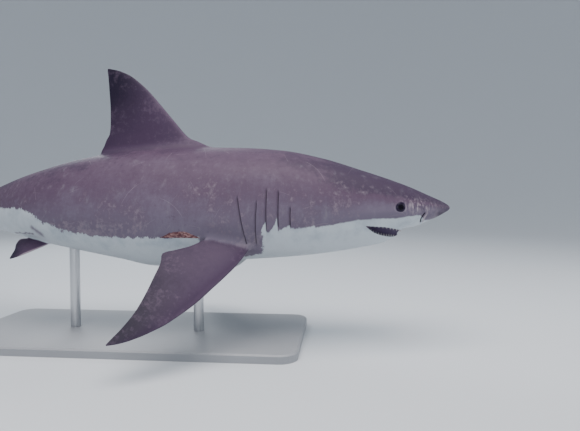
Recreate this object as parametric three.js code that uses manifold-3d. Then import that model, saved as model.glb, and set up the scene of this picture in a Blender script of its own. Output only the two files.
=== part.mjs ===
import * as THREE from 'three';
import { mergeVertices } from 'three/addons/utils/BufferGeometryUtils.js';
import Module from 'manifold-3d';

// Great white shark, still life-size model on a stand. Millimetres, +X forward, +Y its left, +Z up.
// Everything on the animal is laid out on a straight body first: "along" is the share of the total
// length behind the snout tip, "side" the share to its left, "height" the share above the axis.
// toWorld() then bends the straight body along its spine.

const totalLength = 4000;
const axisHeight = 742;
const partingGap = 0.36;
const finGap = 0.3;

// how the spine turns towards the shark's left, in degrees
const tailSweep = 30;
const sweepStart = 0.44;
const sweepEnd = 0.70;
const finReturn = 10;
const returnStart = 0.80;
const returnEnd = 1.0;

// body curves, each a short run of [along, size] stations, sizes as shares of the total length
const backStations = [
  [0, 0], [0.0058, 0.0062], [0.025, 0.0155], [0.0638, 0.0323], [0.1166, 0.0505], [0.1705, 0.0672],
  [0.2257, 0.0783], [0.2824, 0.0824], [0.345, 0.0836], [0.4159, 0.0812], [0.4945, 0.0721],
  [0.5874, 0.0523], [0.665, 0.0340], [0.7324, 0.0185], [0.785, 0.0090], [0.82, 0.0052],
  [0.868, 0.002],
];
const bellyStations = [
  [0, 0], [0.0056, 0.0056], [0.0244, 0.0153], [0.05, 0.0255], [0.063, 0.0278], [0.0665, 0.0316],
  [0.072, 0.0382], [0.089, 0.0471], [0.1156, 0.0533], [0.17, 0.0622], [0.2259, 0.0679],
  [0.2835, 0.0722], [0.3427, 0.0799], [0.4, 0.082], [0.4504, 0.0730], [0.5332, 0.0585],
  [0.62, 0.0456], [0.70, 0.0345], [0.7550, 0.0265], [0.79, 0.0225], [0.82, 0.0195], [0.868, 0.0160],
];
const widthStations = [
  [0, 0], [0.0058, 0.0066], [0.025, 0.0190], [0.0508, 0.0315], [0.09, 0.0445], [0.1434, 0.0575],
  [0.198, 0.068], [0.254, 0.0742], [0.31, 0.076], [0.36, 0.0745], [0.42, 0.070], [0.495, 0.0605],
  [0.587, 0.0455], [0.665, 0.0330], [0.7324, 0.0235], [0.77, 0.0190], [0.80, 0.0160],
  [0.83, 0.0125], [0.868, 0.0050],
];
const widestStations = [
  [0, 0], [0.03, -0.0012], [0.09, -0.004], [0.2, -0.008], [0.35, -0.010], [0.5, -0.007],
  [0.65, -0.005], [0.75, -0.0055], [0.82, -0.0068], [0.868, -0.007],
];
const upperFullness = [[0, 2.0], [0.1, 2.0], [0.25, 1.95], [0.36, 1.75], [0.6, 1.8], [0.8, 2], [0.87, 2]];
const lowerFullness = [
  [0, 2.0], [0.055, 2.15], [0.0635, 2.1], [0.074, 1.65], [0.10, 1.7], [0.15, 1.95], [0.2, 2.15],
  [0.4, 2.15], [0.7, 2.0], [0.87, 2],
];
const keelStations = [
  [0.69, 0], [0.74, 0.003], [0.79, 0.009], [0.82, 0.0112], [0.845, 0.0090], [0.868, 0.0035],
];
const keelThickness = 0.0040;

// the left pectoral is carried this much higher than the right one, in degrees
const leftPectoralRaise = 7;

// head
const headEnd = 0.282;
const eyeAlong = 0.0693;
const eyeHeight = 0.0019;
const eyeRadius = 25.5;
const eyeDepth = 14;
const eyeSunk = 6.5;
const socketRelief = 0.3;
const mouthCorner = [0.1148, -0.0217];
const upperLip = [[0.0890, -0.0235], [0.0751, -0.0261], [0.0660, -0.0288], [0.0580, -0.0330]];
const lowerLip = [[0.1020, -0.0308], [0.0885, -0.0352], [0.0775, -0.0362], [0.0680, -0.0328]];
const jawHinge = [0.1340, -0.0660];
const upperToothCount = 22;
const lowerToothCount = 20;
const upperToothHeight = 18;
const lowerToothHeight = 16;
const upperToothWidth = 17;
const lowerToothWidth = 12;
const toothThickness = 5;
const toothBury = 4;
const toothInset = 0.0026;
const nostrilAlong = 0.0396;
const nostrilHeight = -0.0130;
const nostrilTilt = 40;

// gill slits: [along, top, foot, lean towards the tail at the top]
const gillSlits = [
  [0.2075, 0.0055, -0.0245, 0],
  [0.2225, 0.0205, -0.0250, 0],
  [0.2375, 0.0235, -0.0310, 0],
  [0.2506, 0.0115, -0.0485, -0.0020],
  [0.2685, 0.0175, -0.0500, 0.0120],
];
const gillWidth = 5;
const gillDepth = 9;

// where the trunk is parted
const frontPart = 0.40;
const middlePart = 0.55;
const rearPart = 0.705;
const tailEnd = 0.868;
const lobeParting = -0.0085;

const bodySegments = 32;
const finSegments = 12;

// ---------------------------------------------------------------- curves

// monotone cubic through the stations, so that no bump appears between two of them
function curve(stations, x) {
  const count = stations.length;
  if (x <= stations[0][0]) return stations[0][1];
  if (x >= stations[count - 1][0]) return stations[count - 1][1];
  const slopes = [];
  for (let i = 0; i < count - 1; i += 1) {
    slopes.push((stations[i + 1][1] - stations[i][1]) / (stations[i + 1][0] - stations[i][0]));
  }
  const tangent = (i) => {
    if (i === 0) return slopes[0];
    if (i === count - 1) return slopes[count - 2];
    const a = slopes[i - 1];
    const b = slopes[i];
    if (a * b <= 0) return 0;
    return 2 * a * b / (a + b);
  };
  let k = 0;
  while (x > stations[k + 1][0]) k += 1;
  const width = stations[k + 1][0] - stations[k][0];
  const t = (x - stations[k][0]) / width;
  const t2 = t * t;
  const t3 = t2 * t;
  return (2 * t3 - 3 * t2 + 1) * stations[k][1]
    + (t3 - 2 * t2 + t) * width * tangent(k)
    + (3 * t2 - 2 * t3) * stations[k + 1][1]
    + (t3 - t2) * width * tangent(k + 1);
}

// the same read over the square root of the distance, which rounds the snout tip
function bluntCurve(stations, x) {
  const rooted = stations.map(([a, v]) => [Math.sqrt(a), v]);
  return curve(rooted, Math.sqrt(Math.max(0, x)));
}

function smooth(t) {
  const u = Math.min(1, Math.max(0, t));
  return u * u * (3 - 2 * u);
}

function spineTurn(along) {
  const sweep = tailSweep * smooth((along - sweepStart) / (sweepEnd - sweepStart));
  const back = finReturn * smooth((along - returnStart) / (returnEnd - returnStart));
  return (sweep - back) * Math.PI / 180;
}

const spineSteps = 600;
const spineReach = 1.05;
const spine = [[0, 0]];
for (let i = 1; i <= spineSteps; i += 1) {
  const step = spineReach / spineSteps;
  const turn = spineTurn((i - 0.5) * step);
  const last = spine[i - 1];
  spine.push([last[0] - Math.cos(turn) * step, last[1] + Math.sin(turn) * step]);
}

function toWorld([along, side, height]) {
  const turn = spineTurn(along);
  const place = Math.min(spineSteps - 1, Math.max(0, along / spineReach * spineSteps));
  const k = Math.floor(place);
  const t = place - k;
  const forward = along < 0 ? -along : 0;
  const x = spine[k][0] * (1 - t) + spine[k + 1][0] * t + forward;
  const y = spine[k][1] * (1 - t) + spine[k + 1][1] * t;
  return [
    (x + Math.sin(turn) * side) * totalLength,
    (y + Math.cos(turn) * side) * totalLength,
    height * totalLength + axisHeight,
  ];
}

// ---------------------------------------------------------------- body section

function sectionSizes(along) {
  return {
    top: bluntCurve(backStations, along),
    foot: -bluntCurve(bellyStations, along),
    half: bluntCurve(widthStations, along),
    widest: bluntCurve(widestStations, along),
    upper: curve(upperFullness, along),
    lower: curve(lowerFullness, along),
    keel: curve(keelStations, along),
  };
}

// a point of the section at an angle: 0 is its left side, a quarter turn the back; grow in mm
function sectionPoint(along, angle, grow = 0) {
  const s = sectionSizes(along);
  const more = grow / totalLength;
  const c = Math.cos(angle);
  const v = Math.sin(angle);
  const power = v >= 0 ? s.upper : s.lower;
  const across = Math.sign(c) * Math.abs(c) ** (2 / power);
  const rise = Math.sign(v) * Math.abs(v) ** (2 / power);
  const reach = v >= 0 ? s.top - s.widest : s.widest - s.foot;
  const height = s.widest + rise * (reach + more);
  const off = (height - s.widest) / keelThickness;
  const keel = s.keel * Math.exp(-off * off) * Math.sign(c) * Math.min(1, Math.abs(c) * 2);
  return [along, across * (s.half + more) + keel, height];
}

// half width of the body at a height
function halfWidthAt(along, height) {
  const s = sectionSizes(along);
  const above = height >= s.widest;
  const reach = above ? s.top - s.widest : s.widest - s.foot;
  const power = above ? s.upper : s.lower;
  const t = Math.abs(height - s.widest) / reach;
  if (t >= 1) return 0;
  return s.half * (1 - t ** power) ** (1 / power);
}

// ---------------------------------------------------------------- solids

const wasm = await Module();
wasm.setup();

function toSolid(points, faces) {
  const geometry = new THREE.BufferGeometry();
  geometry.setAttribute('position', new THREE.BufferAttribute(new Float32Array(points.flat()), 3));
  geometry.setIndex(faces.flat());
  return solidOf(geometry);
}

function solidOf(geometry) {
  geometry.deleteAttribute('normal');
  geometry.deleteAttribute('uv');
  const merged = mergeVertices(geometry, 1e-4);
  const mesh = new wasm.Mesh({
    numProp: 3,
    vertProperties: new Float32Array(merged.attributes.position.array),
    triVerts: new Uint32Array(merged.index.array),
  });
  return new wasm.Manifold(mesh);
}

// six times the volume that the faces enclose, below zero when they face in
function enclosed(points, faces) {
  let sum = 0;
  for (const [a, b, c] of faces) {
    const [p, q, r] = [points[a], points[b], points[c]];
    sum += p[0] * (q[1] * r[2] - q[2] * r[1]);
    sum += p[1] * (q[2] * r[0] - q[0] * r[2]);
    sum += p[2] * (q[0] * r[1] - q[1] * r[0]);
  }
  return sum;
}

// skin over a run of rings, each a list of points of the same length, with flat or pointed ends
function loft(rings) {
  const points = [];
  const faces = [];
  const around = rings[0].length;
  for (const ring of rings) points.push(...ring);
  for (let r = 0; r < rings.length - 1; r += 1) {
    for (let i = 0; i < around; i += 1) {
      const j = (i + 1) % around;
      const a = r * around + i;
      const b = r * around + j;
      const c = (r + 1) * around + i;
      const d = (r + 1) * around + j;
      faces.push([a, b, d], [a, d, c]);
    }
  }
  const cap = (ring, start, front) => {
    const middle = [0, 1, 2].map((k) => ring.reduce((sum, p) => sum + p[k], 0) / ring.length);
    points.push(middle);
    const m = points.length - 1;
    for (let i = 0; i < around; i += 1) {
      const j = (i + 1) % around;
      faces.push(front ? [m, start + j, start + i] : [m, start + i, start + j]);
    }
  };
  cap(rings[0], 0, true);
  cap(rings[rings.length - 1], (rings.length - 1) * around, false);
  const outward = enclosed(points, faces) < 0 ? faces.map(([a, b, c]) => [a, c, b]) : faces;
  return toSolid(points, outward);
}

function bodyRing(along, grow = 0) {
  const ring = [];
  for (let i = 0; i < bodySegments; i += 1) {
    ring.push(toWorld(sectionPoint(along, i / bodySegments * 2 * Math.PI, grow)));
  }
  return ring;
}

function between(from, to, count) {
  const out = [];
  for (let i = 0; i <= count; i += 1) out.push(from + (to - from) * i / count);
  return out;
}

// the body from one station to another
function bodyLength(stations, grow = 0) {
  return loft(stations.map((along) => bodyRing(along, grow)));
}

const headStations = [
  0.00012, 0.0008, 0.0025, 0.0058, 0.011, 0.018, 0.026, 0.036, 0.047, 0.056, 0.063, 0.0665, 0.072,
  0.080, 0.089, 0.099, 0.110, 0.125, 0.143, 0.165, 0.190, 0.215, 0.248,
];
const frontStations = between(headEnd, frontPart, 5);
const middleStations = between(frontPart, middlePart, 5);
const rearStations = between(middlePart, rearPart, 5);
const tailStations = between(rearPart, tailEnd, 8);
const allStations = [
  ...headStations,
  ...frontStations,
  ...middleStations.slice(1),
  ...rearStations.slice(1),
  ...tailStations.slice(1),
];
const halfGap = partingGap / totalLength / 2;

// body grown by the fin gap, which trims every fin root
const grownBody = bodyLength([...allStations, tailEnd + finGap / totalLength], finGap);

// a slab whose outline is drawn in along and height, reaching right across the body
function crossSlab(outline, halfWidth) {
  const left = outline.map(([along, height]) => toWorld([along, halfWidth, height]));
  const right = outline.map(([along, height]) => toWorld([along, -halfWidth, height]));
  return loft([left, right]);
}

// ---------------------------------------------------------------- head, jaw, teeth, eyes

// one tooth: a flat-sided point on a buried root, tip along +-Z, before it is set on the gum
function tooth(width, height, thickness, bury, up) {
  const w = width / 2;
  const t = thickness / 2;
  const s = up ? 1 : -1;
  const corners = [[-1, -1], [1, -1], [1, 1], [-1, 1]];
  const level = (z, kw, kt) => corners.map(([a, b]) => [a * w * kw, b * t * kt, z]);
  const rings = [
    level(-bury * s, 1, 1),
    level(height * 0.5 * s, 0.62, 0.7),
    level(height * s, 0.06, 0.2),
  ];
  return loft(rings);
}

// height of the lip line over a run of [along, height] stations that starts at the mouth corner
function lipHeight(line, along) {
  const run = [mouthCorner, ...line];
  for (let i = 0; i < run.length - 1; i += 1) {
    const [a0, h0] = run[i];
    const [a1, h1] = run[i + 1];
    if (along <= a0 && along >= a1) return h0 + (h1 - h0) * (along - a0) / (a1 - a0);
  }
  return run[run.length - 1][1];
}

// the tooth row as seen from below, from one corner round the front to the other
function archPath(line, lastAlong, firstAlong, inset) {
  const half = [];
  const steps = 160;
  for (let i = 0; i <= steps; i += 1) {
    const along = lastAlong + (firstAlong - lastAlong) * i / steps;
    const height = lipHeight(line, along);
    const side = halfWidthAt(along, height) - inset;
    if (side > 0) half.push([along, side, height]);
  }
  half.sort((p, q) => q[0] - p[0]);
  return [...half, ...half.slice().reverse().map(([a, s, h]) => [a, -s, h])];
}

function toothRow(path, count, width, height, up, lean) {
  const points = path.map(toWorld);
  const runs = [0];
  for (let i = 1; i < points.length; i += 1) {
    const d = Math.hypot(...[0, 1, 2].map((k) => points[i][k] - points[i - 1][k]));
    runs.push(runs[i - 1] + d);
  }
  const total = runs[runs.length - 1];
  let row = null;
  for (let n = 0; n < count; n += 1) {
    const want = total * (n + 0.5) / count;
    let k = 1;
    while (runs[k] < want && k < runs.length - 1) k += 1;
    const t = (want - runs[k - 1]) / (runs[k] - runs[k - 1]);
    const p = [0, 1, 2].map((i) => points[k - 1][i] + (points[k][i] - points[k - 1][i]) * t);
    const ahead = points[Math.min(points.length - 1, k + 6)];
    const behind = points[Math.max(0, k - 7)];
    const heading = Math.atan2(ahead[1] - behind[1], ahead[0] - behind[0]);
    const fromMiddle = Math.abs((n + 0.5) / count - 0.5) * 2;
    const size = 1 - 0.45 * fromMiddle ** 2.2;
    const one = tooth(width * size, height * size, toothThickness, toothBury, up)
      .rotate([lean * (up ? 1 : -1), 0, heading * 180 / Math.PI])
      .translate(p);
    row = row ? row.add(one) : one;
  }
  return row;
}

// the mouth gap, from the corner forward between the two lips
function mouthGap() {
  const outline = [
    mouthCorner,
    ...upperLip,
    [0.050, -0.0400],
    [0.058, -0.0400],
    ...lowerLip.slice().reverse(),
  ];
  return crossSlab(outline, 0.09);
}

// thin cut that frees the lower jaw, from the mouth corner down and back to the throat
function jawCut() {
  const dx = jawHinge[0] - mouthCorner[0];
  const dz = jawHinge[1] - mouthCorner[1];
  const length = Math.hypot(dx, dz);
  const nx = -dz / length * halfGap;
  const nz = dx / length * halfGap;
  const from = [mouthCorner[0] - dx * 0.03, mouthCorner[1] - dz * 0.03];
  const outline = [
    [from[0] + nx, from[1] + nz],
    [from[0] - nx, from[1] - nz],
    [jawHinge[0] - nx, jawHinge[1] - nz],
    [jawHinge[0] + nx, jawHinge[1] + nz],
  ];
  return crossSlab(outline, 0.09);
}

// everything below the mouth and in front of the jaw cut
function jawRegion() {
  const outline = [
    mouthCorner,
    [0.0890, -0.0290],
    [0.0700, -0.0302],
    [0.0560, -0.0350],
    [0.0500, -0.0900],
    [jawHinge[0], -0.0900],
    jawHinge,
  ];
  return crossSlab(outline, 0.09);
}

// a point of the skin by its place along and its height, with the direction that faces out there
function skinPoint(along, height, side) {
  const step = 1e-4;
  const slopeAlong = (halfWidthAt(along + step, height) - halfWidthAt(along - step, height)) / step / 2;
  const slopeUp = (halfWidthAt(along, height + step) - halfWidthAt(along, height - step)) / step / 2;
  const out = unit([slopeAlong, side, -slopeUp]);
  return { at: toWorld([along, side * halfWidthAt(along, height), height]), out };
}

// the eye: a ball flattened along the direction it faces, most of it inside its socket
function eyeBall(side, more = 0) {
  const { at, out } = skinPoint(eyeAlong, eyeHeight, side);
  const geometry = new THREE.SphereGeometry(1, 12, 8);
  geometry.scale(eyeRadius + more, eyeDepth + more, eyeRadius + more);
  const turn = new THREE.Quaternion();
  turn.setFromUnitVectors(new THREE.Vector3(0, 1, 0), new THREE.Vector3(...out));
  geometry.applyQuaternion(turn);
  geometry.translate(...at.map((v, k) => v - out[k] * eyeSunk));
  return solidOf(geometry);
}

function gillGroove([along, top, foot, lean], side) {
  const steps = 4;
  const outer = [];
  for (let i = 0; i <= steps; i += 1) {
    const t = i / steps;
    const height = foot + (top - foot) * t;
    const bow = 0.0022 * Math.sin(Math.PI * t);
    const at = along + lean * (t - 0.5) + bow;
    const narrow = Math.sin(Math.PI * (0.06 + 0.88 * t)) ** 0.4;
    const skin = halfWidthAt(at, height);
    const half = gillWidth / totalLength / 2 * narrow;
    const deep = gillDepth / totalLength * narrow;
    outer.push([
      toWorld([at - half, side * (skin + 0.004), height]),
      toWorld([at + half, side * (skin + 0.004), height]),
      toWorld([at + half * 0.4 + 0.0012, side * (skin - deep), height]),
      toWorld([at - half * 0.4 + 0.0012, side * (skin - deep), height]),
    ]);
  }
  return loft(outer);
}

function nostril(side) {
  const { at } = skinPoint(nostrilAlong, nostrilHeight, side);
  const geometry = new THREE.SphereGeometry(1, 8, 5);
  geometry.scale(5, 9, 17);
  geometry.rotateY(nostrilTilt * Math.PI / 180);
  geometry.translate(...at);
  return solidOf(geometry);
}

const headWhole = bodyLength([...headStations, headEnd - halfGap]);
const mouth = mouthGap();
const jawParting = jawCut();
const jawSpace = jawRegion();

let headSolid = headWhole.subtract(jawSpace).subtract(mouth);
const jawOnly = headWhole.intersect(jawSpace).subtract(mouth).subtract(jawParting);
headSolid = headSolid.subtract(jawParting);
for (const side of [-1, 1]) {
  headSolid = headSolid.subtract(eyeBall(side, socketRelief));
  headSolid = headSolid.subtract(nostril(side));
  for (const slit of gillSlits) headSolid = headSolid.subtract(gillGroove(slit, side));
}
const upperArch = archPath(upperLip, 0.1095, 0.0652, toothInset);
const lowerArch = archPath(lowerLip, 0.1080, 0.0688, toothInset);
headSolid = headSolid.add(
  toothRow(upperArch, upperToothCount, upperToothWidth, upperToothHeight, false, 4),
);
const jawSolid = jawOnly.add(
  toothRow(lowerArch, lowerToothCount, lowerToothWidth, lowerToothHeight, true, 4),
);

// ---------------------------------------------------------------- fins

function unit(v) {
  const length = Math.hypot(...v);
  return v.map((c) => c / length);
}

function cross(a, b) {
  return [a[1] * b[2] - a[2] * b[1], a[2] * b[0] - a[0] * b[2], a[0] * b[1] - a[1] * b[0]];
}

function minus(a, b) {
  return a.map((v, k) => v - b[k]);
}

// the flat a fin lies in: its root point, the way to its tip and the way along its chord
function flatThrough(root, tip, rear) {
  const reach = unit(minus(tip, root));
  const normal = unit(cross(reach, minus(rear, root)));
  return { at: root, reach, chord: cross(normal, reach), normal };
}

// a fin from rows of [reach, front edge, rear edge] in its flat, given aerofoil sections
function fin(plan, steps, mirror = 1) {
  const { rows, flat, thickness, thinnest } = plan;
  const front = rows.map(([reach, edge]) => [reach, edge]);
  const rear = rows.map(([reach, , edge]) => [reach, edge]);
  const first = rows[0][0];
  const last = rows[rows.length - 1][0];
  const rings = [];
  for (let n = 0; n <= steps; n += 1) {
    const share = 1 - (1 - n / steps) ** 1.35;
    const reach = first + (last - first) * share;
    const from = curve(front, reach);
    const chord = curve(rear, reach) - from;
    const wanted = chord * totalLength * (thickness[0] + (thickness[1] - thickness[0]) * share);
    const thick = Math.max(thinnest, wanted);
    const ring = [];
    for (let i = 0; i < finSegments; i += 1) {
      const angle = i / finSegments * 2 * Math.PI;
      const x = (1 - Math.cos(angle)) / 2;
      const body = 1.3 * Math.sqrt(x) * (1 - x) * thick;
      const edge = 0.5 * thinnest * (4 * x * (1 - x)) ** 0.25;
      const off = Math.sign(Math.round(Math.sin(angle) * 1e6)) * Math.max(body, edge) / totalLength;
      const p = flat.at.map((v, k) => (
        v + flat.reach[k] * reach + flat.chord[k] * (from + chord * x) + flat.normal[k] * off
      ));
      ring.push(toWorld([p[0], p[1] * mirror, p[2]]));
    }
    rings.push(ring);
  }
  return loft(rings);
}

// the same flat turned about the body's length, so that the fin tip stands higher
function raised(plan, degrees) {
  const c = Math.cos(degrees * Math.PI / 180);
  const s = Math.sin(degrees * Math.PI / 180);
  const turned = ([along, side, height]) => [along, side * c - height * s, height * c + side * s];
  const { at, reach, chord, normal } = plan.flat;
  return { ...plan, flat: { at, reach: turned(reach), chord: turned(chord), normal: turned(normal) } };
}

const sideways = [0, 1, 0];

const firstDorsal = {
  flat: { at: [0, 0, 0], reach: [0, 0, 1], chord: [1, 0, 0], normal: sideways },
  rows: [
    [0.0690, 0.3210, 0.4650], [0.0750, 0.3230, 0.4905], [0.0855, 0.3270, 0.4811],
    [0.0905, 0.3400, 0.4790], [0.0962, 0.3556, 0.4765], [0.1025, 0.3627, 0.4725],
    [0.1164, 0.3745, 0.4706], [0.1375, 0.3922, 0.4703], [0.1609, 0.4125, 0.4714],
    [0.1744, 0.4268, 0.4722], [0.1851, 0.4412, 0.4730], [0.1920, 0.4572, 0.4738],
    [0.1950, 0.4705, 0.4734],
  ],
  thickness: [0.105, 0.09],
  thinnest: 6,
};

const secondDorsal = {
  flat: { at: [0.728, 0, 0.020], reach: [0, 0, 1], chord: [1, 0, 0], normal: sideways },
  rows: [
    [-0.0060, 0.0000, 0.0160], [0.0010, 0.0020, 0.0330], [0.0045, 0.0060, 0.0250],
    [0.0100, 0.0125, 0.0215], [0.0140, 0.0190, 0.0210],
  ],
  thickness: [0.13, 0.12],
  thinnest: 4,
};

const analFin = {
  flat: { at: [0.748, 0, -0.0245], reach: [0, 0, -1], chord: [1, 0, 0], normal: sideways },
  rows: [
    [-0.0060, 0.0000, 0.0170], [0.0010, 0.0020, 0.0340], [0.0050, 0.0065, 0.0265],
    [0.0110, 0.0140, 0.0235], [0.0155, 0.0210, 0.0230],
  ],
  thickness: [0.13, 0.12],
  thinnest: 4,
};

const pectoral = {
  flat: flatThrough([0.2626, 0.0640, -0.0535], [0.3907, 0.1950, -0.1405], [0.3123, 0.0720, -0.0380]),
  rows: [
    [-0.0240, 0.0110, 0.0420], [0, 0, 0.0430], [0.028, -0.0080, 0.0450], [0.050, -0.0118, 0.0470],
    [0.070, -0.0145, 0.0530], [0.088, -0.0170, 0.0588], [0.097, -0.0180, 0.0500],
    [0.115, -0.0188, 0.0385], [0.135, -0.0187, 0.0262], [0.158, -0.0158, 0.0142],
    [0.181, -0.0102, 0.0064], [0.194, -0.0050, 0.0034], [0.2026, -0.0002, 0.0012],
  ],
  thickness: [0.19, 0.10],
  thinnest: 6,
};

const pelvic = {
  flat: flatThrough([0.5488, 0.0250, -0.0506], [0.5810, 0.0600, -0.0700], [0.5921, 0.0260, -0.0446]),
  rows: [
    [-0.0140, 0.0050, 0.0330], [0, 0, 0.0330], [0.0220, -0.0014, 0.0330], [0.0320, -0.0018, 0.0370],
    [0.0390, -0.0019, 0.0290], [0.0430, -0.0018, 0.0170], [0.0480, -0.0012, 0.0090],
    [0.0525, 0.0000, 0.0020],
  ],
  thickness: [0.12, 0.10],
  thinnest: 5,
};

const caudalUpper = {
  flat: {
    at: [0.822, 0, -0.001],
    reach: [0.791, 0, 0.6118],
    chord: [0.6118, 0, -0.791],
    normal: sideways,
  },
  rows: [
    [-0.0100, 0.0040, 0.0150], [0, 0, 0.0220], [0.030, -0.0060, 0.0420], [0.0600, -0.0105, 0.0610],
    [0.0720, -0.0118, 0.0535], [0.095, -0.0128, 0.0420], [0.130, -0.0125, 0.0300],
    [0.160, -0.0100, 0.0212], [0.185, -0.0068, 0.0150], [0.197, -0.0050, 0.0085],
    [0.206, -0.0034, 0.0100], [0.216, -0.0015, 0.0065], [0.2238, 0, 0.0010],
  ],
  thickness: [0.17, 0.09],
  thinnest: 5,
};

const caudalLower = {
  flat: {
    at: [0.826, 0, -0.014],
    reach: [0.6987, 0, -0.7155],
    chord: [0.7155, 0, 0.6987],
    normal: sideways,
  },
  rows: [
    [-0.0100, 0.0040, 0.0150], [0, 0, 0.0240], [0.020, -0.0055, 0.0410], [0.0480, -0.0110, 0.0640],
    [0.0600, -0.0126, 0.0530], [0.085, -0.0138, 0.0385], [0.110, -0.0125, 0.0275],
    [0.140, -0.0078, 0.0165], [0.165, -0.0028, 0.0078], [0.1789, 0, 0.0012],
  ],
  thickness: [0.16, 0.09],
  thinnest: 5,
};

// ---------------------------------------------------------------- stand

const baseLength = 1900;
const baseWidth = 860;
const baseThickness = 45;
const baseCorner = 90;
const baseEdge = 8;
const baseCentreAlong = 0.435;
const baseShift = 15;
const rodRadius = 28;
const rodSides = 24;
const frontRodAlong = 0.345;
const rearRodAlong = 0.530;
const rodSeat = 0.3;

function roundedPlate(length, width, thickness, corner, edge) {
  const level = (inset, z) => {
    const ring = [];
    const l = length / 2 - corner;
    const w = width / 2 - corner;
    const steps = 5;
    for (let q = 0; q < 4; q += 1) {
      const cx = (q === 0 || q === 3) ? l : -l;
      const cy = q < 2 ? w : -w;
      for (let i = 0; i <= steps; i += 1) {
        const angle = (q + i / steps) * Math.PI / 2;
        ring.push([cx + Math.cos(angle) * (corner - inset), cy + Math.sin(angle) * (corner - inset), z]);
      }
    }
    return ring;
  };
  return loft([level(0, 0), level(0, thickness - edge), level(edge, thickness)]);
}

function rod(along) {
  const [x, y] = toWorld([along, 0, 0]);
  const ring = (z) => {
    const out = [];
    for (let i = 0; i < rodSides; i += 1) {
      const angle = i / rodSides * 2 * Math.PI;
      out.push([x + Math.cos(angle) * rodRadius, y + Math.sin(angle) * rodRadius, z]);
    }
    return out;
  };
  return loft([ring(baseThickness + rodSeat), ring(axisHeight)]).subtract(grownBody);
}

const baseCentre = toWorld([baseCentreAlong, 0, 0]);
const plate = roundedPlate(baseLength, baseWidth, baseThickness, baseCorner, baseEdge)
  .translate([baseCentre[0], baseCentre[1] + baseShift, 0]);

// ---------------------------------------------------------------- materials and group

const skinTop = () => new THREE.MeshStandardMaterial({ color: 0x6b5a66, roughness: 0.6 });
const finSkin = () => new THREE.MeshStandardMaterial({ color: 0x5c4c5a, roughness: 0.6 });
const jawSkin = () => new THREE.MeshStandardMaterial({ color: 0xb9bcb8, roughness: 0.6 });
const eyeBlack = () => new THREE.MeshStandardMaterial({ color: 0x15131a, roughness: 0.15 });
const standPaint = () => new THREE.MeshStandardMaterial({ color: 0x8b8f94, roughness: 0.5 });
const rodSteel = () => new THREE.MeshStandardMaterial({ color: 0xa9adb2, roughness: 0.35, metalness: 1 });

const group = new THREE.Group();
group.name = 'great_white_shark';

function place(name, solid, material) {
  const { numProp, vertProperties, triVerts } = solid.getMesh();
  const positions = new Float32Array(triVerts.length * 3);
  for (let i = 0; i < triVerts.length; i += 1) {
    for (let k = 0; k < 3; k += 1) positions[i * 3 + k] = vertProperties[triVerts[i] * numProp + k];
  }
  const geometry = new THREE.BufferGeometry();
  geometry.setAttribute('position', new THREE.BufferAttribute(positions, 3));
  geometry.computeVertexNormals();
  const mesh = new THREE.Mesh(geometry, material);
  mesh.name = name;
  group.add(mesh);
}

place('head', headSolid, skinTop());
place('lower_jaw', jawSolid, jawSkin());
for (const [name, side] of [['right', -1], ['left', 1]]) {
  place(`eye_${name}`, eyeBall(side), eyeBlack());
}
const inside = (stations) => [stations[0] + halfGap, ...stations.slice(1, -1)];
const lengths = [
  ['trunk_front', [...inside(frontStations), frontPart - halfGap]],
  ['trunk_middle', [...inside(middleStations), middlePart - halfGap]],
  ['trunk_rear', [...inside(rearStations), rearPart - halfGap]],
  ['tail_stock', [...inside(tailStations), tailEnd]],
];
for (const [name, stations] of lengths) place(name, bodyLength(stations), skinTop());

// the two lobes of the tail fin are parted level, through the fork
const caudalFin = fin(caudalUpper, 15).add(fin(caudalLower, 12)).subtract(grownBody);
const lobeSpace = (from, to) => {
  const rear = 1.04;
  const outline = [
    ...between(rearPart, rear, 6).map((along) => [along, from]),
    ...between(rear, rearPart, 6).map((along) => [along, to]),
  ];
  return crossSlab(outline, 0.05);
};
const fork = [lobeParting - halfGap, lobeParting + halfGap];
place('caudal_lower_lobe', caudalFin.intersect(lobeSpace(-0.2, fork[0])), finSkin());
place('caudal_upper_lobe', caudalFin.intersect(lobeSpace(fork[1], 0.2)), finSkin());
place('first_dorsal_fin', fin(firstDorsal, 14).subtract(grownBody), finSkin());
place('second_dorsal_fin', fin(secondDorsal, 6).subtract(grownBody), finSkin());
place('anal_fin', fin(analFin, 6).subtract(grownBody), finSkin());
for (const [name, side] of [['right', -1], ['left', 1]]) {
  const held = side > 0 ? raised(pectoral, leftPectoralRaise) : pectoral;
  place(`pectoral_fin_${name}`, fin(held, 15, side).subtract(grownBody), finSkin());
  place(`pelvic_fin_${name}`, fin(pelvic, 9, side).subtract(grownBody), finSkin());
}
place('stand_base', plate, standPaint());
place('stand_rod_front', rod(frontRodAlong), rodSteel());
place('stand_rod_rear', rod(rearRodAlong), rodSteel());

// origin: middle of the footprint, underside of the base at zero
const box = new THREE.Box3().setFromObject(group);
const shiftX = -(box.min.x + box.max.x) / 2;
const shiftY = -(box.min.y + box.max.y) / 2;
for (const mesh of group.children) mesh.geometry.translate(shiftX, shiftY, -box.min.z);

export default group;
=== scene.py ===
import math

import bmesh
import bpy
import numpy as np
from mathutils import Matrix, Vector
from mathutils.geometry import delaunay_2d_cdt
from mathutils.kdtree import KDTree


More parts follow.
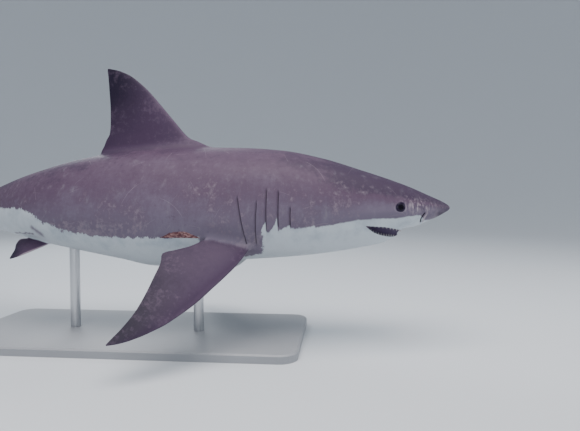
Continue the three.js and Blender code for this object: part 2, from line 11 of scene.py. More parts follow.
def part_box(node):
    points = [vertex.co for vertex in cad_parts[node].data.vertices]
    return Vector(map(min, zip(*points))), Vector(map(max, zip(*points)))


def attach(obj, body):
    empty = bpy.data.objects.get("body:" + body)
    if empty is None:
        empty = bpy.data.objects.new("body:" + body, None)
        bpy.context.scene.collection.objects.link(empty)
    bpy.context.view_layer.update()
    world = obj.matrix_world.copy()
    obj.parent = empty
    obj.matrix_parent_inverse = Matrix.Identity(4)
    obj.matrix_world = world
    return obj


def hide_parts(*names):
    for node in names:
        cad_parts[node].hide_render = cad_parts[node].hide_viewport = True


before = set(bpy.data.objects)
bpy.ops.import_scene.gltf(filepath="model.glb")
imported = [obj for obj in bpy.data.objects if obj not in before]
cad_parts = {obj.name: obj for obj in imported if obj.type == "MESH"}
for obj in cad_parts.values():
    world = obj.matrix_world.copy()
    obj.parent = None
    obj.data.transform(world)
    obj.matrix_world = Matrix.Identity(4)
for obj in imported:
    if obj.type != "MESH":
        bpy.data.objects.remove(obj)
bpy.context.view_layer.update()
rad = math.radians


# the straight body: along, side and height are shares of the total length

body = {
    "totalLength": 4.0,
    "axisHeight": 0.742,
    "back": [
        (0, 0), (0.0058, 0.0062), (0.025, 0.0155), (0.0638, 0.0323), (0.1166, 0.0505), (0.1705, 0.0672),
        (0.2257, 0.0783), (0.2824, 0.0824), (0.345, 0.0836), (0.4159, 0.0812), (0.4945, 0.0721),
        (0.5874, 0.0523), (0.665, 0.034), (0.7324, 0.0185), (0.785, 0.009), (0.82, 0.0052),
        (0.868, 0.002),
    ],
    "belly": [
        (0, 0), (0.0056, 0.0056), (0.0244, 0.0153), (0.05, 0.0255), (0.063, 0.0278), (0.0665, 0.0316),
        (0.072, 0.0382), (0.089, 0.0471), (0.1156, 0.0533), (0.17, 0.0622), (0.2259, 0.0679),
        (0.2835, 0.0722), (0.3427, 0.0799), (0.4, 0.082), (0.4504, 0.073), (0.5332, 0.0585),
        (0.62, 0.0456), (0.7, 0.0345), (0.755, 0.0265), (0.79, 0.0225), (0.82, 0.0195), (0.868, 0.016),
    ],
    "width": [
        (0, 0), (0.0058, 0.0066), (0.025, 0.019), (0.0508, 0.0315), (0.09, 0.0445), (0.1434, 0.0575),
        (0.198, 0.068), (0.254, 0.0742), (0.31, 0.076), (0.36, 0.0745), (0.42, 0.07), (0.495, 0.0605),
        (0.587, 0.0455), (0.665, 0.033), (0.7324, 0.0235), (0.77, 0.019), (0.8, 0.016),
        (0.83, 0.0125), (0.868, 0.005),
    ],
    "widest": [
        (0, 0), (0.03, -0.0012), (0.09, -0.004), (0.2, -0.008), (0.35, -0.01), (0.5, -0.007),
        (0.65, -0.005), (0.75, -0.0055), (0.82, -0.0068), (0.868, -0.007),
    ],
    "upperFullness": [(0, 2.0), (0.1, 2.0), (0.25, 1.95), (0.36, 1.75), (0.6, 1.8), (0.8, 2), (0.87, 2)],
    "lowerFullness": [
        (0, 2.0), (0.055, 2.15), (0.0635, 2.1), (0.074, 1.65), (0.1, 1.7), (0.15, 1.95), (0.2, 2.15),
        (0.4, 2.15), (0.7, 2.0), (0.87, 2),
    ],
    "keel": [(0.69, 0), (0.74, 0.003), (0.79, 0.009), (0.82, 0.0112), (0.845, 0.009), (0.868, 0.0035)],
    "keelThickness": 0.004,
    "tailStart": 0.7,      # from here back the skin is laid out in side view
    "bodyFade": (0.845, 0.9),
}
length = body["totalLength"]

bend = {
    "sweep": 30.0, "sweepStart": 0.44, "sweepEnd": 0.7,
    "return": 10.0, "returnStart": 0.8, "returnEnd": 1.0,
    "steps": 600, "reach": 1.05,
}


def smoothTable(stations, rooted=False):
    # monotone cubic through the stations; rooted reads it over the square root of the distance
    xs, ys = np.array(stations, float).T
    if rooted:
        xs = np.sqrt(xs)
    slopes = np.diff(ys) / np.diff(xs)
    tangents = np.zeros_like(xs)
    tangents[0], tangents[-1] = slopes[0], slopes[-1]
    before, after = slopes[:-1], slopes[1:]
    same = before * after > 0
    tangents[1:-1][same] = 2 * before[same] * after[same] / (before[same] + after[same])

    def read(x):
        x = np.asarray(x, float)
        if rooted:
            x = np.sqrt(np.maximum(x, 0))
        x = np.clip(x, xs[0], xs[-1])
        k = np.clip(np.searchsorted(xs, x, side="right") - 1, 0, len(xs) - 2)
        wide = xs[k + 1] - xs[k]
        t = (x - xs[k]) / wide
        t2, t3 = t * t, t * t * t
        return (
            (2 * t3 - 3 * t2 + 1) * ys[k]
            + (t3 - 2 * t2 + t) * wide * tangents[k]
            + (3 * t2 - 2 * t3) * ys[k + 1]
            + (t3 - t2) * wide * tangents[k + 1]
        )

    return read


backAt = smoothTable(body["back"], True)
bellyAt = smoothTable(body["belly"], True)
widthAt = smoothTable(body["width"], True)
widestAt = smoothTable([(a, -h) for a, h in body["widest"]], True)
upperAt = smoothTable(body["upperFullness"])
lowerAt = smoothTable(body["lowerFullness"])
keelAt = smoothTable(body["keel"])


def smooth(t):
    u = np.clip(t, 0, 1)
    return u * u * (3 - 2 * u)


def spineTurn(along):
    sweep = bend["sweep"] * smooth((along - bend["sweepStart"]) / (bend["sweepEnd"] - bend["sweepStart"]))
    back = bend["return"] * smooth((along - bend["returnStart"]) / (bend["returnEnd"] - bend["returnStart"]))
    return np.radians(sweep - back)


spineAlong = np.linspace(0, bend["reach"], bend["steps"] + 1)
spineMiddles = (spineAlong[1:] + spineAlong[:-1]) / 2
spineStep = spineAlong[1]
spineX = np.concatenate([[0], -np.cumsum(np.cos(spineTurn(spineMiddles))) * spineStep])
spineY = np.concatenate([[0], np.cumsum(np.sin(spineTurn(spineMiddles))) * spineStep])
headLow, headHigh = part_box("head")
snoutX = headHigh.x + 0.00012 * length
middleY = (headLow.y + headHigh.y) / 2


def toWorld(points):
    # bends straight-body points [along, side, height] along the spine, in metres
    along, side, height = np.asarray(points, float).T
    turn = spineTurn(along)
    x = np.interp(along, spineAlong, spineX) + np.maximum(-along, 0) + np.sin(turn) * side
    y = np.interp(along, spineAlong, spineY) + np.cos(turn) * side
    return np.stack([
        x * length + snoutX,
        y * length + middleY,
        height * length + body["axisHeight"],
    ], axis=-1)


def sectionPoint(along, angle):
    # a point of one half of the section: angle is -90 degrees at the belly, 90 at the back
    along, angle = np.broadcast_arrays(np.asarray(along, float), np.asarray(angle, float))
    widest = -widestAt(along)
    c, v = np.maximum(np.cos(angle), 0), np.sin(angle)
    power = np.where(v >= 0, upperAt(along), lowerAt(along))
    reach = np.where(v >= 0, backAt(along) - widest, widest + bellyAt(along))
    height = widest + np.sign(v) * np.abs(v) ** (2 / power) * reach
    keel = keelAt(along) * np.exp(-((height - widest) / body["keelThickness"]) ** 2) * np.minimum(1, 2 * c)
    side = np.where(c < 1e-9, 0, c ** (2 / power) * widthAt(along) + keel)
    return along, side, height


def flankOf(along, height):
    # which half of the section a height lies in, the share of that half's reach, and its fullness
    widest = -widestAt(along)
    up = height >= widest
    reach = np.where(up, backAt(along) - widest, widest + bellyAt(along))
    share = np.abs(height - widest) / np.maximum(reach, 1e-9)
    return up, share, np.where(up, upperAt(along), lowerAt(along))


def angleOf(along, height):
    up, share, power = flankOf(along, height)
    return np.where(up, 1, -1) * np.arcsin(np.clip(share, 0, 1) ** (power / 2))


def halfWidthAt(along, height):
    _, share, power = flankOf(along, height)
    return widthAt(along) * (1 - np.clip(share, 0, 1) ** power) ** (1 / power)


def outside(along, side, height):
    # above zero outside the body
    _, share, power = flankOf(along, height)
    return share ** power + (np.abs(side) / widthAt(along)) ** power - 1


# unrolled skin: u runs back from the snout, v round from the side line, in metres

rollAlong = body["tailStart"] * 1.02 * np.linspace(0, 1, 3000) ** 2


def rollRadius(along):
    tall = (backAt(along) + bellyAt(along)) / 2
    return np.sqrt((widthAt(along) ** 2 + tall ** 2) / 2) * length


rollSteps = np.hypot(np.diff(rollAlong) * length, np.diff(rollRadius(rollAlong)))
rollU = np.concatenate([[0], np.cumsum(rollSteps)])


def toRoll(along, angle):
    u = np.interp(along, rollAlong, rollU)
    return np.stack([u, angle * rollRadius(along)], axis=-1)


def fromRoll(uv):
    along = np.interp(uv[:, 0], rollU, rollAlong)
    angle = uv[:, 1] / np.maximum(rollRadius(along), 1e-9)
    return along, np.clip(angle, -math.pi / 2, math.pi / 2)


def spread(points, spacing):
    # the same line with a point every spacing or so
    points = np.asarray(points, float)
    run = np.concatenate([[0], np.cumsum(np.linalg.norm(np.diff(points, axis=0), axis=1))])
    count = max(1, int(round(run[-1] / spacing)))
    at = np.linspace(0, run[-1], count + 1)
    return np.stack([np.interp(at, run, points[:, k]) for k in range(points.shape[1])], axis=-1)


def nearest(points, targets):
    # distance from each point to the closest target, on a flat or in space
    tree = KDTree(len(targets))
    for i, target in enumerate(targets.tolist()):
        tree.insert((target + [0.0])[:3], i)
    tree.balance()
    return np.array([tree.find((point + [0.0])[:3])[2] for point in points.tolist()])


def inBox(points, targets, reach):
    # which points lie in the box round the targets, widened by the reach
    low, high = targets.min(axis=0) - reach, targets.max(axis=0) + reach
    return ((points >= low) & (points <= high)).all(axis=1)


# mouth, eye, nostril and gills, as moves of the skin

mouth = {
    "corner": (0.1148, -0.0217),
    "upperLip": [(0.058, -0.033), (0.066, -0.0288), (0.0751, -0.0261), (0.089, -0.0235)],
    "lowerLip": [(0.068, -0.0352), (0.0775, -0.0373), (0.0885, -0.0357), (0.102, -0.031)],
    "depth": 0.0125,
    "frontDepth": 0.12,     # share of the depth that the front of the mouth goes back
    "wall": 3.0,
    "cornerRun": 0.01,
    "lipStart": 0.052, "lipHeight": 0.0007, "lipWidth": 0.0019,
    "creaseStart": 0.108, "creaseEnd": 0.131,
    "creaseDepth": 0.0028, "creaseWidth": 0.0011, "creaseFall": 1.1,
    "lineStart": 0.06,
    "rows": (0.012, 0.035, 0.08, 0.16, 0.28, 0.42, 0.58, 0.72, 0.84, 0.92, 0.965, 0.988),
}
upperLipAt = smoothTable(mouth["upperLip"] + [mouth["corner"]])
lowerLipAt = smoothTable(mouth["lowerLip"] + [mouth["corner"]])

eye = {
    "along": 0.0693, "height": 0.0019,
    "radius": 0.0305, "thickness": 0.0165, "sunk": 0.0108,
    "opening": 0.0236, "long": 1.13, "cup": 0.024,
    "rimHeight": 0.0018, "rimWidth": 0.004, "lidRun": 0.02,
    "lines": ((0.985, 48), (1.0, 48), (1.12, 48), (1.35, 44)),     # share of the opening, steps
}
nostril = {
    "top": (0.0352, -0.0052), "foot": (0.04, -0.0196),
    "bow": 0.012, "width": 0.0058, "depth": 0.013,
    "flap": 0.0034, "flapAway": 0.0115, "flapReach": 0.0056,
    "lines": (-0.0078, -0.0056, -0.0034, 0.0, 0.0034, 0.0056, 0.0078), "lineEnds": 0.97, "linePoints": 24,
}
swells = [  # along, height, reach along, reach up, lift in metres: the soft relief of the head
    (0.067, 0.0098, 0.011, 0.0036, 0.0024), (0.056, 0.002, 0.006, 0.005, -0.0016),
    (0.035, 0.004, 0.014, 0.004, 0.0012), (0.03, -0.01, 0.008, 0.005, 0.0014),
    (0.1, -0.006, 0.02, 0.008, 0.003), (0.13, -0.033, 0.02, 0.009, 0.0036),
    (0.129, -0.019, 0.009, 0.005, -0.0022), (0.085, -0.017, 0.016, 0.004, 0.0014),
    (0.165, 0.01, 0.022, 0.018, 0.003), (0.195, -0.01, 0.011, 0.014, 0.0034),
    (0.295, -0.022, 0.026, 0.013, 0.004), (0.26, 0.048, 0.05, 0.016, 0.004),
]
gills = {
    "slits": [  # along, top, foot, lean
        (0.2075, 0.003, -0.0245, 0.0),
        (0.2225, 0.024, -0.0255, 0.0),
        (0.2375, 0.0265, -0.0315, 0.0),
        (0.2506, 0.0115, -0.0485, -0.002),
        (0.2685, 0.0175, -0.05, 0.012),
    ],
    "bow": 0.0004, "end": 0.1,
    "flap": 0.003, "flapRun": 0.011, "flapEdge": 0.003,
    "slit": 0.0016, "depth": 0.007, "depthRun": 0.012, "recover": 0.012,
    "darkAt": 0.0018, "darkRun": 0.0019,
    "lines": (-0.003, -0.0006, 0.0006, 0.0022, 0.006, 0.011), "linePoints": 60,
}


def slitAt(slit, height):
    # where a gill slit is at a height, and how open it is there
    along, top, foot, lean = slit
    t = (height - foot) / (top - foot)
    place = along + lean * (t - 0.5) + gills["bow"] * np.sin(math.pi * np.clip(t, 0, 1))
    ends = smooth(t / gills["end"]) * smooth((1 - t) / gills["end"])
    return place, ends


def mouthShare(along, height):
    # 0 at the lower lip, 1 at the upper lip
    gap = np.maximum(upperLipAt(along) - lowerLipAt(along), 1e-6)
    return (height - lowerLipAt(along)) / gap


eyeRoll = toRoll(eye["along"], angleOf(eye["along"], eye["height"]))
nostrilTop = toRoll(nostril["top"][0], angleOf(*nostril["top"]))
nostrilFoot = toRoll(nostril["foot"][0], angleOf(*nostril["foot"]))
nostrilMiddle = (nostrilTop + nostrilFoot) / 2
nostrilHalf = np.linalg.norm(nostrilTop - nostrilFoot) / 2
nostrilWay = (nostrilTop - nostrilFoot) / (2 * nostrilHalf)
nostrilBack = np.array([nostrilWay[1], -nostrilWay[0]])
if nostrilBack[0] < 0:
    nostrilBack = -nostrilBack


def rawNormal(along, angle):
    step = 1e-4
    ahead = np.stack(sectionPoint(along + step, angle), axis=-1)
    behind = np.stack(sectionPoint(np.maximum(along - step, 1e-7), angle), axis=-1)
    up = np.stack(sectionPoint(along, angle + 1e-3), axis=-1)
    down = np.stack(sectionPoint(along, angle - 1e-3), axis=-1)
    normal = np.cross(up - down, ahead - behind)
    size = np.linalg.norm(normal, axis=1, keepdims=True)
    normal = normal / np.maximum(size, 1e-12)
    flip = (normal[:, 1] < 0) & (np.abs(np.cos(angle)) > 1e-3)
    normal[flip] *= -1
    edge = np.abs(np.cos(angle)) <= 1e-3
    wrong = edge & (normal[:, 2] * np.sign(angle) < 0)
    normal[wrong] *= -1
    normal[edge, 1] = 0
    return normal


def eyeRelief(uv, masks):
    # a cup behind the ball and a low rim round it
    off = np.linalg.norm((uv - eyeRoll) / [eye["long"], 1], axis=1)
    # the lid mask places a painted shadow and a painted catch light round the eye
    masks["lid"] = np.clip(1 - (off - eye["opening"]) / eye["lidRun"], 0, 1)
    cup = np.clip(1 - (off / eye["opening"]) ** 5, 0, 1) ** 0.2
    rim = np.exp(-((off - eye["opening"]) / eye["rimWidth"]) ** 2)
    return eye["rimHeight"] * rim - eye["cup"] * cup


def nostrilRelief(uv, masks):
    # a crescent slit with a flap in front of it
    across = uv - nostrilMiddle
    p = across @ nostrilWay / nostrilHalf
    bowed = across @ nostrilBack - nostril["bow"] * (1 - p ** 2)
    opening = np.clip(1 - p ** 2, 0, 1) ** 0.5
    hole = np.exp(-(bowed / nostril["width"]) ** 4) * opening
    flap = np.exp(-((bowed + nostril["flapAway"]) / nostril["flapReach"]) ** 2) * opening
    # the mask is the hole, which the finish paints as shade, less the flap
    masks["nostril"] = hole - flap
    return nostril["flap"] * flap - nostril["depth"] * hole


def gillRelief(along, height, masks):
    # a low flap, a narrow drop behind its edge, then back up to the skin
    lift, dark = np.zeros(len(along)), np.zeros(len(along))
    edge = gills["flapEdge"]
    for slit in gills["slits"]:
        place, ends = slitAt(slit, height)
        d = (along - place) * length
        rise = gills["flap"] * np.exp(-((d + edge) / gills["flapRun"]) ** 2) * smooth(-d / edge + 0.7)
        drop = smooth(d / gills["slit"] + 0.3) * smooth(1 - (d - edge) / gills["recover"])
        lift += ends * (rise - gills["depth"] * drop * np.exp(-(d / gills["depthRun"]) ** 2))
        # the gill mask marks the painted shade just behind each slit's edge
        dark = np.maximum(dark, ends * np.exp(-((d - gills["darkAt"]) / gills["darkRun"]) ** 2))
    masks["gill"] = dark
    return lift


def lipRelief(along, height):
    # a low welt along each lip, and a crease that runs on from the corner
    corner, level = mouth["corner"]
    fade = smooth((corner + 0.006 - along) / 0.02) * (along > mouth["lipStart"])
    gaps = [height - upperLipAt(along), height - lowerLipAt(along)]
    welts = sum(np.exp(-(gap / mouth["lipWidth"]) ** 2) for gap in gaps)
    off = height - level + (along - corner) * mouth["creaseFall"]
    ends = smooth((along - mouth["creaseStart"]) / 0.008) * smooth((mouth["creaseEnd"] - along) / 0.012)
    crease = np.exp(-(off / mouth["creaseWidth"]) ** 2) * ends
    return mouth["lipHeight"] * length * fade * welts - mouth["creaseDepth"] * crease


def openMouth(along, angle, a, s):
    # takes the skin between the lips in, level, towards the middle of the head
    _, _, height = sectionPoint(along, angle)
    share = mouthShare(along, height)
    ahead = mouth["corner"][0] - along
    deep = np.clip(1 - np.abs(2 * share - 1) ** mouth["wall"], 0, 1) ** (1 / mouth["wall"])
    deep *= smooth(ahead / mouth["cornerRun"]) * ((share > 0) & (share < 1) & (ahead > 0))
    step = 1e-4
    slope = (halfWidthAt(along + step, height) - halfWidthAt(along - step, height)) / (2 * step)
    inwards = mouth["depth"] * deep / np.sqrt(1 + slope ** 2)
    a = a + inwards * slope * mouth["frontDepth"]
    s = np.where(s > 0, s * s / np.maximum(s + inwards, 1e-9), s)
    return a, np.where(np.cos(angle) < 1e-3, 0, s), deep


def skinPoints(uv):
    # straight-body points of the finished skin, with masks that the finish reads
    along, angle = fromRoll(uv)
    a, s, h = sectionPoint(along, angle)
    masks = {}
    out = eyeRelief(uv, masks) + nostrilRelief(uv, masks) + gillRelief(a, h, masks) + lipRelief(a, h)
    for at, level, longReach, tallReach, lift in swells:
        out += lift * np.exp(-((a - at) / longReach) ** 2 - ((h - level) / tallReach) ** 2)
    a, s, h = np.array([a, s, h]) + rawNormal(along, angle).T * out / length
    a, s, masks["mouth"] = openMouth(along, angle, a, s)
    return np.stack([a, s, h], axis=-1), masks


# fins, as rows of [reach, front edge, rear edge] on a flat

def unit(v):
    v = np.asarray(v, float)
    return v / np.linalg.norm(v)


def flatThrough(root, tip, rear):
    root, tip, rear = (np.array(p, float) for p in (root, tip, rear))
    reach = unit(tip - root)
    normal = unit(np.cross(reach, rear - root))
    return {"at": root, "reach": reach, "chord": np.cross(normal, reach), "normal": normal}


def flatUpright(at, reach, chord):
    return {"at": np.array(at, float), "reach": np.array(reach, float),
            "chord": np.array(chord, float), "normal": np.array([0.0, 1.0, 0.0])}


def raised(plan, degrees):
    # the same fin turned about the length of the body
    c, s = math.cos(rad(degrees)), math.sin(rad(degrees))
    turn = np.array([[1, 0, 0], [0, c, -s], [0, s, c]])
    flat = plan["flat"]
    turned = {k: turn @ flat[k] for k in ("reach", "chord", "normal")}
    return {**plan, "flat": {"at": flat["at"], **turned}}


firstDorsal = {
    "flat": flatUpright([0, 0, 0], [0, 0, 1], [1, 0, 0]),
    "rows": [
        (0.069, 0.321, 0.465), (0.075, 0.323, 0.4905), (0.0855, 0.327, 0.4811),
        (0.0905, 0.34, 0.479), (0.0962, 0.3556, 0.4765), (0.1025, 0.3627, 0.4725),
        (0.1164, 0.3745, 0.4706), (0.1375, 0.3922, 0.4703), (0.1609, 0.4125, 0.4714),
        (0.1744, 0.4268, 0.4722), (0.1851, 0.4412, 0.473), (0.192, 0.4572, 0.4738),
        (0.195, 0.4705, 0.4734),
    ],
    "thickness": (0.105, 0.09), "thinnest": 0.0045, "around": 56, "steps": 46, "fillet": 0.05, "half": True,
}
pectoral = {
    "flat": flatThrough([0.2626, 0.064, -0.0535], [0.3907, 0.195, -0.1405], [0.3123, 0.072, -0.038]),
    "rows": [
        (-0.024, 0.011, 0.042), (0, 0, 0.043), (0.028, -0.008, 0.045), (0.05, -0.0118, 0.047),
        (0.07, -0.0145, 0.053), (0.088, -0.017, 0.0588), (0.097, -0.018, 0.05),
        (0.115, -0.0188, 0.0385), (0.135, -0.0187, 0.0262), (0.158, -0.0158, 0.0142),
        (0.181, -0.0102, 0.0064), (0.194, -0.005, 0.0034), (0.2026, -0.0002, 0.0012),
    ],
    "thickness": (0.19, 0.1), "thinnest": 0.0045, "around": 56, "steps": 60, "fillet": 0.045, "half": False,
}
pelvic = {
    "flat": flatThrough([0.5488, 0.025, -0.0506], [0.581, 0.06, -0.07], [0.5921, 0.026, -0.0446]),
    "rows": [
        (-0.014, 0.005, 0.033), (0, 0, 0.033), (0.022, -0.0014, 0.033), (0.032, -0.0018, 0.037),
        (0.039, -0.0019, 0.029), (0.043, -0.0018, 0.017), (0.048, -0.0012, 0.009),
        (0.0525, 0.0000, 0.002),
    ],
    "thickness": (0.12, 0.1), "thinnest": 0.0036, "around": 40, "steps": 30, "fillet": 0.022, "half": False,
}
leftPectoralRaise = 7.0

secondDorsal = {
    "flat": flatUpright([0.728, 0, 0.02], [0, 0, 1], [1, 0, 0]),
    "rows": [
        (-0.006, 0.0000, 0.016), (0.001, 0.002, 0.033), (0.0045, 0.006, 0.025),
        (0.01, 0.0125, 0.0215), (0.014, 0.019, 0.021),
    ],
    "thickness": (0.13, 0.12), "thinnest": 0.003,
}
analFin = {
    "flat": flatUpright([0.748, 0, -0.0245], [0, 0, -1], [1, 0, 0]),
    "rows": [
        (-0.006, 0.0000, 0.017), (0.001, 0.002, 0.034), (0.005, 0.0065, 0.0265),
        (0.011, 0.014, 0.0235), (0.0155, 0.021, 0.023),
    ],
    "thickness": (0.13, 0.12), "thinnest": 0.003,
}
caudalUpper = {
    "flat": flatUpright([0.822, 0, -0.001], [0.791, 0, 0.6118], [0.6118, 0, -0.791]),
    "rows": [
        (-0.01, 0.004, 0.015), (0, 0, 0.022), (0.03, -0.006, 0.042), (0.06, -0.0105, 0.061),
        (0.072, -0.0118, 0.0535), (0.095, -0.0128, 0.042), (0.13, -0.0125, 0.03),
        (0.16, -0.01, 0.0212), (0.185, -0.0068, 0.015), (0.197, -0.005, 0.0085),
        (0.206, -0.0034, 0.01), (0.216, -0.0015, 0.0065), (0.2238, 0, 0.001),
    ],
    "thickness": (0.17, 0.09), "thinnest": 0.004,
}
caudalLower = {
    "flat": flatUpright([0.826, 0, -0.014], [0.6987, 0, -0.7155], [0.7155, 0, 0.6987]),
    "rows": [
        (-0.01, 0.004, 0.015), (0, 0, 0.024), (0.02, -0.0055, 0.041), (0.048, -0.011, 0.064),
        (0.06, -0.0126, 0.053), (0.085, -0.0138, 0.0385), (0.11, -0.0125, 0.0275),
        (0.14, -0.0078, 0.0165), (0.165, -0.0028, 0.0078), (0.1789, 0, 0.0012),
    ],
    "thickness": (0.16, 0.09), "thinnest": 0.004,
}


def edgesAt(plan, reach):
    # the front and the rear edge of a fin at a reach
    rows = plan["rows"]
    return smoothTable([(r, f) for r, f, _ in rows])(reach), smoothTable([(r, b) for r, _, b in rows])(reach)


def spanOf(plan):
    return plan["rows"][0][0], plan["rows"][-1][0]


def onFlat(plan, reach, across):
    flat = plan["flat"]
    return flat["at"] + reach[:, None] * flat["reach"] + across[:, None] * flat["chord"]


def bladeHalf(plan, reach, x, chord):
    # half thickness of a fin at a share x of its chord, as a share of the total length
    first, last = spanOf(plan)
    share = (reach - first) / (last - first)
    near, far = plan["thickness"]
    thinnest = plan["thinnest"] / length
    thick = np.maximum(thinnest, chord * (near + (far - near) * share))
    x = np.clip(x, 0, 1)
    shape = 1.3 * np.sqrt(x) * (1 - x) * thick
    return np.maximum(shape, 0.5 * thinnest * (4 * x * (1 - x)) ** 0.25)


def finPoint(plan, reach, angle):
    # angle 0 is the leading edge, 180 degrees the trailing edge
    front, rear = edgesAt(plan, reach)
    x = (1 - np.cos(angle)) / 2
    out = np.sign(np.round(np.sin(angle) * 1e6)) * bladeHalf(plan, reach, x, rear - front)
    return onFlat(plan, reach, front + (rear - front) * x) + out[:, None] * plan["flat"]["normal"]


def rootReach(plan, angles):
    # for each chord place, the reach at which the fin comes out of the body
    first, last = spanOf(plan)
    tries = np.linspace(first, first + (last - first) * 0.5, 120)

    def inBody(reach):
        return outside(*finPoint(plan, reach, angles).T) <= 0

    inside = np.array([inBody(np.full(len(angles), r)) for r in tries])
    lastIn = np.minimum(len(tries) - 1 - np.argmax(inside[::-1], axis=0), len(tries) - 2)
    low, high = tries[lastIn], tries[lastIn + 1]
    for _ in range(40):
        middle = (low + high) / 2
        isIn = inBody(middle)
        low, high = np.where(isIn, middle, low), np.where(isIn, high, middle)
    return (low + high) / 2


def finGrid(plan):
    # rings of points from the root out to the tip, and the root's place on the unrolled skin
    count = plan["around"]
    angles = np.arange(count // 2 + 1 if plan["half"] else count) * 2 * math.pi / count
    root = rootReach(plan, angles)
    start = finPoint(plan, root, angles)
    roll = toRoll(start[:, 0], angleOf(start[:, 0], start[:, 2]))
    if plan["half"]:
        roll[[0, -1]] = toRoll(start[[0, -1], 0], math.pi / 2)
    shares = 1 - (1 - np.arange(1, plan["steps"] + 1) / plan["steps"]) ** grain["towardsTip"]
    _, last = spanOf(plan)
    return roll, [finPoint(plan, root + (last - root) * share, angles) for share in shares]


# the skin mesh

grain = {  # spacing of the skin's points, in metres
    "trunk": 0.018, "head": 0.0095, "eye": 0.004, "nostril": 0.0027, "mouth": 0.0041,
    "gill": 0.006, "root": 0.01, "snout": 0.0058, "tail": 0.011, "smallFin": 0.004,
    "growth": 0.36,         # how fast the spacing grows away from a line
    "headRim": 0.75, "headEnd": 0.3, "trunkRim": 0.016,
    "rootClear": 0.6, "lineClear": 0.55,
    "towardsTip": 1.25, "outlineToTip": 1.3,
}
columnSteps = 56        # points of the ring where trunk and tail are joined
columnAngles = (np.arange(columnSteps + 1) / columnSteps - 0.5) * math.pi


def scatter(low, high, spacing):
    # a field of points on a triangular lattice
    xs = np.arange(low[0], high[0], spacing)
    ys = np.arange(low[1], high[1], spacing * math.sqrt(3) / 2)
    gridX, gridY = np.meshgrid(xs, ys)
    gridX[1::2] += spacing / 2
    return np.stack([gridX.ravel(), gridY.ravel()], axis=-1)


def triangulate(points, edges, loops):
    found = delaunay_2d_cdt([Vector(p) for p in points.tolist()], edges, loops, 1, 1e-7)
    return np.array([tuple(v) for v in found[0]]), np.array([f for f in found[2] if len(f) == 3])


def rimOf(faces, count):
    # marks the points on the open rim, and finds inner edges that join two of them
    pairs = np.sort(np.concatenate([faces[:, (0, 1)], faces[:, (1, 2)], faces[:, (2, 0)]]), axis=1)
    edges, uses = np.unique(pairs, axis=0, return_counts=True)
    rim = np.zeros(count, bool)
    rim[edges[uses == 1].ravel()] = True
    inner = edges[uses == 2]
    return rim, inner[rim[inner].all(axis=1)]


def fillOutline(fixed, fill, edges, loops):
    # no inner edge may join two rim points, or the two halves would touch along it
    for _ in range(5):
        flat, faces = triangulate(np.concatenate([fixed, fill]), edges, loops)
        rim, chords = rimOf(faces, len(flat))
        if not len(chords):
            break
        fill = np.concatenate([fill, flat[chords].mean(axis=1)])
    return flat, faces, rim


def lineOnSkin(alongs, heights, spacing):
    return spread(toRoll(alongs, angleOf(alongs, heights)), spacing)


def featureLines():
    # spacing and points of the lines that the mesh follows: lips, eye, nostril and gill edges
    lines = []
    alongs = np.linspace(mouth["lineStart"], mouth["corner"][0], 400)
    for share in (0.0, 1.0, *mouth["rows"]):
        heights = lowerLipAt(alongs) + share * (upperLipAt(alongs) - lowerLipAt(alongs))
        start = np.argmax(heights > -bellyAt(alongs) + 1e-5)
        lines.append((grain["mouth"], lineOnSkin(alongs[start:-1], heights[start:-1], grain["mouth"])))
    for share, count in eye["lines"]:
        turn = np.linspace(0, 2 * math.pi, count + 1)
        ring = np.stack([np.cos(turn) * eye["long"], np.sin(turn)], axis=-1) * eye["opening"] * share
        lines.append((grain["eye"], ring + eyeRoll))
    p = np.linspace(-nostril["lineEnds"], nostril["lineEnds"], nostril["linePoints"])
    for q in nostril["lines"]:
        bowed = nostril["bow"] * (1 - p ** 2) + q
        line = nostrilMiddle + np.outer(p * nostrilHalf, nostrilWay) + np.outer(bowed, nostrilBack)
        lines.append((grain["nostril"], line))
    for slit in gills["slits"]:
        heights = np.linspace(slit[2], slit[1], gills["linePoints"])
        place, _ = slitAt(slit, heights)
        for d in gills["lines"]:
            lines.append((grain["gill"], lineOnSkin(place + d / length, heights, grain["gill"])))
    return lines


def baseSpacing(uv):
    snout, head = grain["snout"], grain["head"]
    sizes = [snout, snout * 1.3, head, head, grain["trunk"]]
    return np.interp(fromRoll(uv)[0], [0, 0.015, 0.04, 0.2, 0.32], sizes)


def wantedSpacing(uv, zones):
    wanted = baseSpacing(uv)
    for targets, size in zones:
        near = inBox(uv, targets, (grain["trunk"] - size) / grain["growth"])
        if near.any():
            wanted[near] = np.minimum(wanted[near], size + grain["growth"] * nearest(uv[near], targets))
    return wanted


def loosePoints(outline, fixed, zones):
    # fill between the fixed lines, each level of spacing where the zones ask for it
    step = 2 ** 0.5
    half = step ** 0.5
    found = []
    spacing = grain["trunk"]
    while spacing > grain["nostril"] / half:
        field = scatter(outline.min(axis=0), outline.max(axis=0), spacing)
        widest = spacing == grain["trunk"]
        may = (baseSpacing(field) < spacing * half) | widest
        for targets, size in zones:
            reach = (spacing * half - size) / grain["growth"]
            if reach > 0:
                may |= inBox(field, targets, reach)
        field = field[may]
        field = field[insideLoop(field, outline)]
        wanted = wantedSpacing(field, zones)
        field = field[(wanted >= spacing / half) & ((wanted < spacing * half) | widest)]
        found.append(field[nearest(field, fixed) > grain["lineClear"] * spacing])
        spacing /= step
    return np.concatenate(found)


def rollOutline():
    # belly line, joining ring and back line of the unrolled half skin
    fine = body["tailStart"] * np.linspace(0, 1, 1500) ** 2
    headCount = (fine < grain["headEnd"]).sum()

    def graded(angle):
        line = toRoll(fine, angle)
        rear = spread(line[headCount - 1:], grain["trunkRim"])
        return np.concatenate([spread(line[:headCount], grain["head"] * grain["headRim"]), rear[1:]])

    ring = toRoll(np.full(columnSteps + 1, body["tailStart"]), columnAngles)
    return np.concatenate([graded(-math.pi / 2)[:-1], ring, graded(math.pi / 2)[1:-1][::-1]])


